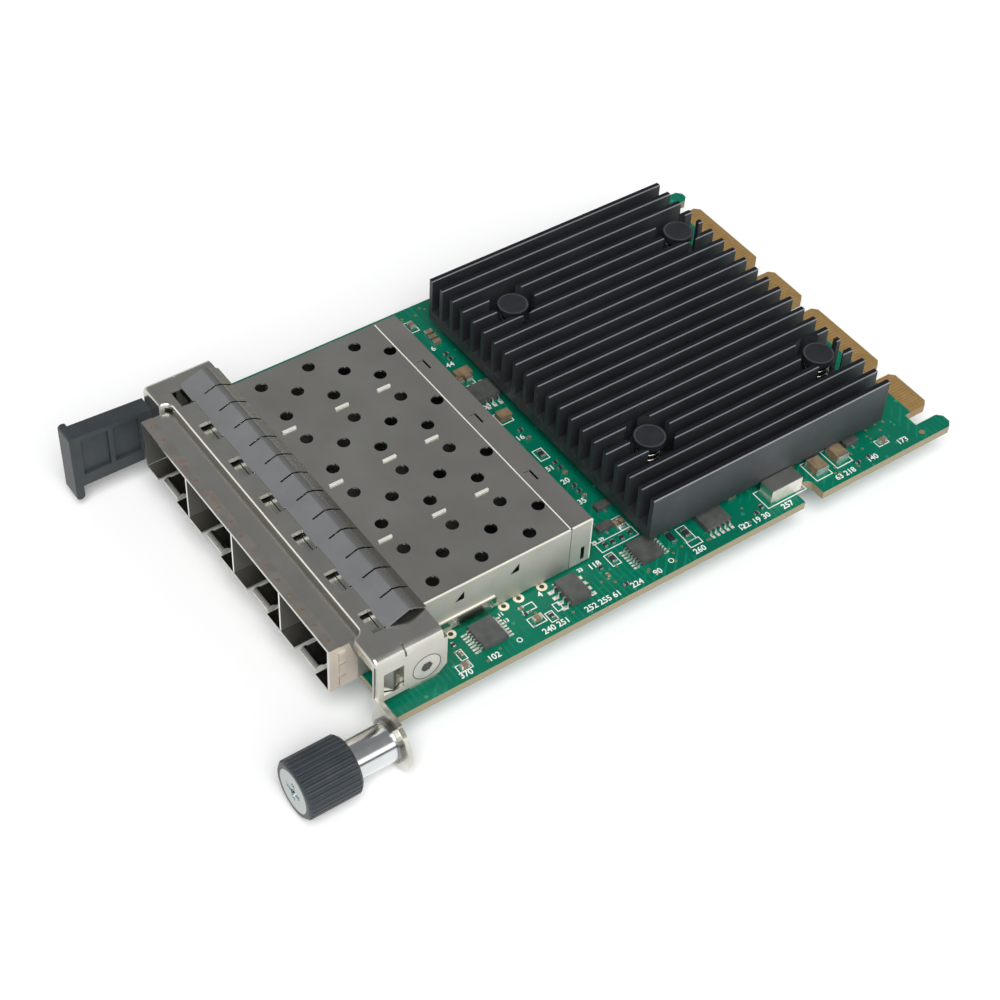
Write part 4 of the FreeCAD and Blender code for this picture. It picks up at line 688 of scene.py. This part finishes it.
def placeTrim(look):
    ends = bmesh.new()
    (x, y), (wide, long) = look["inductor"]
    proud = look["proud"]
    for side in (-1, 1):
        front, rear = sorted((y + side * (long / 2 + proud), y + side * (long / 2 - look["wrap"])))
        addBlock(ends, (x - wide / 2 - proud, front, 0),
                 (x + wide / 2 + proud, rear, look["terminalHigh"]), look["terminalEdge"])
    right, reach = x + wide / 2, long / 2 - look["rimShort"]
    addBlock(ends, (right - look["rimWide"], y - reach, look["rim"] - look["rimWide"]),
             (right + look["rimProud"], y + reach, look["rim"]), look["rimEdge"])
    finishPiece("inductor_ends", ends, "tinMetal", "card")
    rings = bmesh.new()
    # painted highlight: a light ring on each push-pin head's rim
    for x, y in look["pins"]:
        addRing(rings, (x, y, look["pinTop"]), *look["pinHighlightRing"])
    finishPiece("pin_highlight_rings", rings, "pinHighlightPlastic", "card")
    # painted shade: a dark ring where the sleeve meets the ear
    shoulder = bmesh.new()
    addRing(shoulder, (0, 0, 0), *look["shoulder"])
    turn = Matrix.Translation(Vector(look["ear"]) * mm) @ Matrix.Rotation(math.pi / 2, 4, "X")
    bmesh.ops.transform(shoulder, matrix=turn, verts=shoulder.verts)
    finishPiece("sleeve_shoulder", shoulder, "paintedShadeSteel", "card")
    welds = bmesh.new()
    x, y, z = look["firstWeld"]
    for k in range(look["welds"]):
        addDisc(welds, (x + look["weldPitch"] * k, y, z), *look["weld"])
    finishPiece("weld_spots", welds, "weldCopper", "card")


# painted highlights: strips of light colour where folded edges catch the light: low and high
# corners, in mm
edgeHighlights = [
    ((28.27, 8.6, 9.55), (28.53, 38.7, 9.78)), ((28.27, 39.1, 9.60), (28.53, 43.05, 9.83)),
    ((-28.2, 38.72, 9.70), (28.3, 38.94, 9.79)), ((-28.6, -0.43, 10.93), (28.6, -0.19, 11.12)),
    ((28.45, 13.4, 3.05), (28.72, 24.4, 3.3)), ((28.3, 42.9, 0.6), (28.53, 43.12, 9.75)),
]
# pads under the chip leads, in mm: middle x, middle y, size x, size y of the chip, the axis its
# leads point along, pitch, leads a side
leadPads = [
    (32.4, 20.45, 4.9, 4.4, "Y", 0.65, 7), (32.7, 36.65, 4.9, 3.7, "Y", 1.27, 4),
    (32.1, 51.6, 4.7, 4.2, "Y", 0.65, 7), (32.6, 65.25, 3.9, 4.9, "X", 1.0, 5),
    (-12.0, 50.4, 4.0, 4.9, "X", 1.27, 4),
]
padLook = {"near": 0.45, "far": 1.45, "share": 0.27, "high": 0.03}
# painted shade round the bracket's side screw and in its recess
screwLook = {"centre": (35.4, 7.0, 4.7), "ring": (2.42, 2.56, 0.03, 40), "points": 6,
             "star": 1.1, "waist": 0.62, "starLow": 0.005, "starHigh": 0.02}


# painted highlights along the folded edges
def placeEdgeHighlights(edges):
    shape = bmesh.new()
    for low, high in edges:
        addBlock(shape, low, high, 0.03)
    finishPiece("painted_edge_highlights", shape, "paintedEdgeHighlight", "card")


def placeLeadPads(rows, look):
    shape = bmesh.new()
    for x, y, wide, deep, way, pitch, count in rows:
        half = (wide if way == "X" else deep) / 2
        breadth = pitch * look["share"]
        for side in (-1, 1):
            out = sorted((side * (half + look["near"]), side * (half + look["far"])))
            for k in range(count):
                along = pitch * (k - (count - 1) / 2)
                lead = (along - breadth, along + breadth)
                spans = (out, lead) if way == "X" else (lead, out)
                low, high = ((x + spans[0][end], y + spans[1][end]) for end in (0, 1))
                addBlock(shape, (*low, 0), (*high, look["high"]))
    finishPiece("lead_pads", shape, "padSolder", "card")


# painted shade: the dark rim and the dark star recess of the bracket's side screw
def placeScrewShade(look):
    turn = Matrix.Translation(Vector(look["centre"]) * mm) @ Matrix.Rotation(math.pi / 2, 4, "Y")
    shape = bmesh.new()
    addRing(shape, (0, 0, 0), *look["ring"])
    tips = [(look["star"] if k % 2 else look["star"] * look["waist"], math.pi * k / look["points"])
            for k in range(2 * look["points"])]
    corners = [Vector((r * math.cos(a), r * math.sin(a), look["starLow"])) * mm for r, a in tips]
    star = shape.faces.new([shape.verts.new(corner) for corner in corners])
    grown = bmesh.ops.extrude_face_region(shape, geom=[star])["geom"]
    bmesh.ops.translate(shape, verts=[v for v in grown if isinstance(v, bmesh.types.BMVert)],
                        vec=(0, 0, look["starHigh"] * mm))
    bmesh.ops.transform(shape, matrix=turn, verts=shape.verts)
    finishPiece("screw_painted_shade", shape, "darkCeramic", "card")


placeEdgeHighlights(edgeHighlights)
placeLeadPads(leadPads, padLook)
placeScrewShade(screwLook)
placeTrim(trim)
print("small parts placed")


# the spring inside the sleeve, which closes up as the screw is driven in, copied into a piece of
# its own while the part's own spring is hidden
def closingSpring(name):
    node = nodes["thumbscrew_spring"]
    shape = bmesh.new()
    shape.from_mesh(node.data)
    shape.transform(node.matrix_world)
    piece = finishPiece(name, shape, "springMetal", "card")
    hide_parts("thumbscrew_spring")
    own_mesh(piece)


closingSpring("spring_coils")


# studio

# the sky is a ramp over height, with another for the bands beside the card and a dark part behind
studio = {
    "floorColor": (0.93, 0.93, 0.93), "floorRough": 0.9, "floorGlare": 0.1,
    "floorHalf": 3, "floorGap": 0.0002,
    "worldStrength": 1.0, "beside": (0.35, 0.5), "behind": (0.3, 0.65),
    "behindColor": (0.2, 0.2, 0.2),
    "cardStops": [(0.0, (0.9, 0.9, 0.9)), (0.04, (0.9, 0.9, 0.9)), (0.08, (0.07, 0.07, 0.075)),
                  (0.26, (0.07, 0.07, 0.075)), (0.3, (1.9, 1.9, 1.88)), (0.55, (1.9, 1.9, 1.88)),
                  (0.64, (0.26, 0.262, 0.265)), (1.0, (0.235, 0.236, 0.24))],
    "worldStops": [(0.0, (1.0, 1.0, 1.0)), (0.1, (0.85, 0.85, 0.84)), (0.3, (0.3, 0.302, 0.305)),
                   (1.0, (0.235, 0.236, 0.24))],
    "key": {"power": 2.8, "angle": 42, "turn": (30, 12, 40)},
    "azimuth": 52.194, "elevation": 46.730, "roll": 3.4774, "distance": 0.341741,
    "target": (9.8947, 38.7466, 0), "lens": 74.58, "sensor": 36, "clip": 0.01,
}


def placeFloor(look):
    shape = bmesh.new()
    bmesh.ops.create_grid(shape, x_segments=1, y_segments=1, size=look["floorHalf"])
    low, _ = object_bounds()
    bmesh.ops.translate(shape, verts=shape.verts, vec=(0, 0, low.z - look["floorGap"]))
    mesh = bpy.data.meshes.new("floor")
    shape.to_mesh(mesh)
    shape.free()
    floor = bpy.data.objects.new("floor", mesh)
    bpy.context.scene.collection.objects.link(floor)
    material, _, shader, _ = startMaterial("paleFloor")
    shader.inputs["Base Color"].default_value = (*look["floorColor"], 1)
    shader.inputs["Roughness"].default_value = look["floorRough"]
    shader.inputs["Specular IOR Level"].default_value = look["floorGlare"]
    mesh.materials.append(material)
    floor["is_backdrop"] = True


def placeSky(look):
    world = bpy.data.worlds.new("studio")
    world.use_nodes = True
    tree = world.node_tree
    sky = tree.nodes["Background"]
    way = axes(tree, tree.nodes.new("ShaderNodeTexCoord").outputs["Generated"])
    color = ramp(tree, way["Z"], look["worldStops"])
    cards = ramp(tree, way["Z"], look["cardStops"])
    color = mixColor(tree, fade(tree, way["X"], *look["beside"]), color, cards)
    away = arithmetic(tree, "SUBTRACT", way["Y"], arithmetic(tree, "MAXIMUM", way["X"], 0))
    color = mixColor(tree, fade(tree, away, *look["behind"]), color, look["behindColor"])
    tree.links.new(color, sky.inputs["Color"])
    sky.inputs["Strength"].default_value = look["worldStrength"]
    bpy.context.scene.world = world


def placeKey(look):
    lamp = bpy.data.lights.new("key", "SUN")
    lamp.energy = look["power"]
    lamp.angle = math.radians(look["angle"])
    key = bpy.data.objects.new("key", lamp)
    key.rotation_euler = [math.radians(a) for a in look["turn"]]
    bpy.context.scene.collection.objects.link(key)


def placeCamera(look):
    azimuth, elevation, roll = (math.radians(look[k]) for k in ("azimuth", "elevation", "roll"))
    back = Vector((math.sin(azimuth) * math.cos(elevation),
                   -math.cos(azimuth) * math.cos(elevation),
                   math.sin(elevation)))
    right = (-back).cross(Vector((0, 0, 1))).normalized()
    up = right.cross(-back)
    right, up = (right * math.cos(roll) + up * math.sin(roll),
                 up * math.cos(roll) - right * math.sin(roll))
    lens = bpy.data.cameras.new("photoCamera")
    lens.lens = look["lens"]
    lens.sensor_width = look["sensor"]
    lens.clip_start = look["clip"]
    camera = bpy.data.objects.new("photoCamera", lens)
    turn = Matrix((right, up, back)).transposed().to_4x4()
    place = Matrix.Translation(Vector(look["target"]) * mm + back * look["distance"])
    camera.matrix_world = place @ turn
    bpy.context.scene.collection.objects.link(camera)
    bpy.context.scene.camera = camera


placeFloor(studio)
placeSky(studio)
placeKey(studio["key"])
placeCamera(studio)
bpy.context.scene.view_settings.view_transform = "Standard"
print("studio placed")
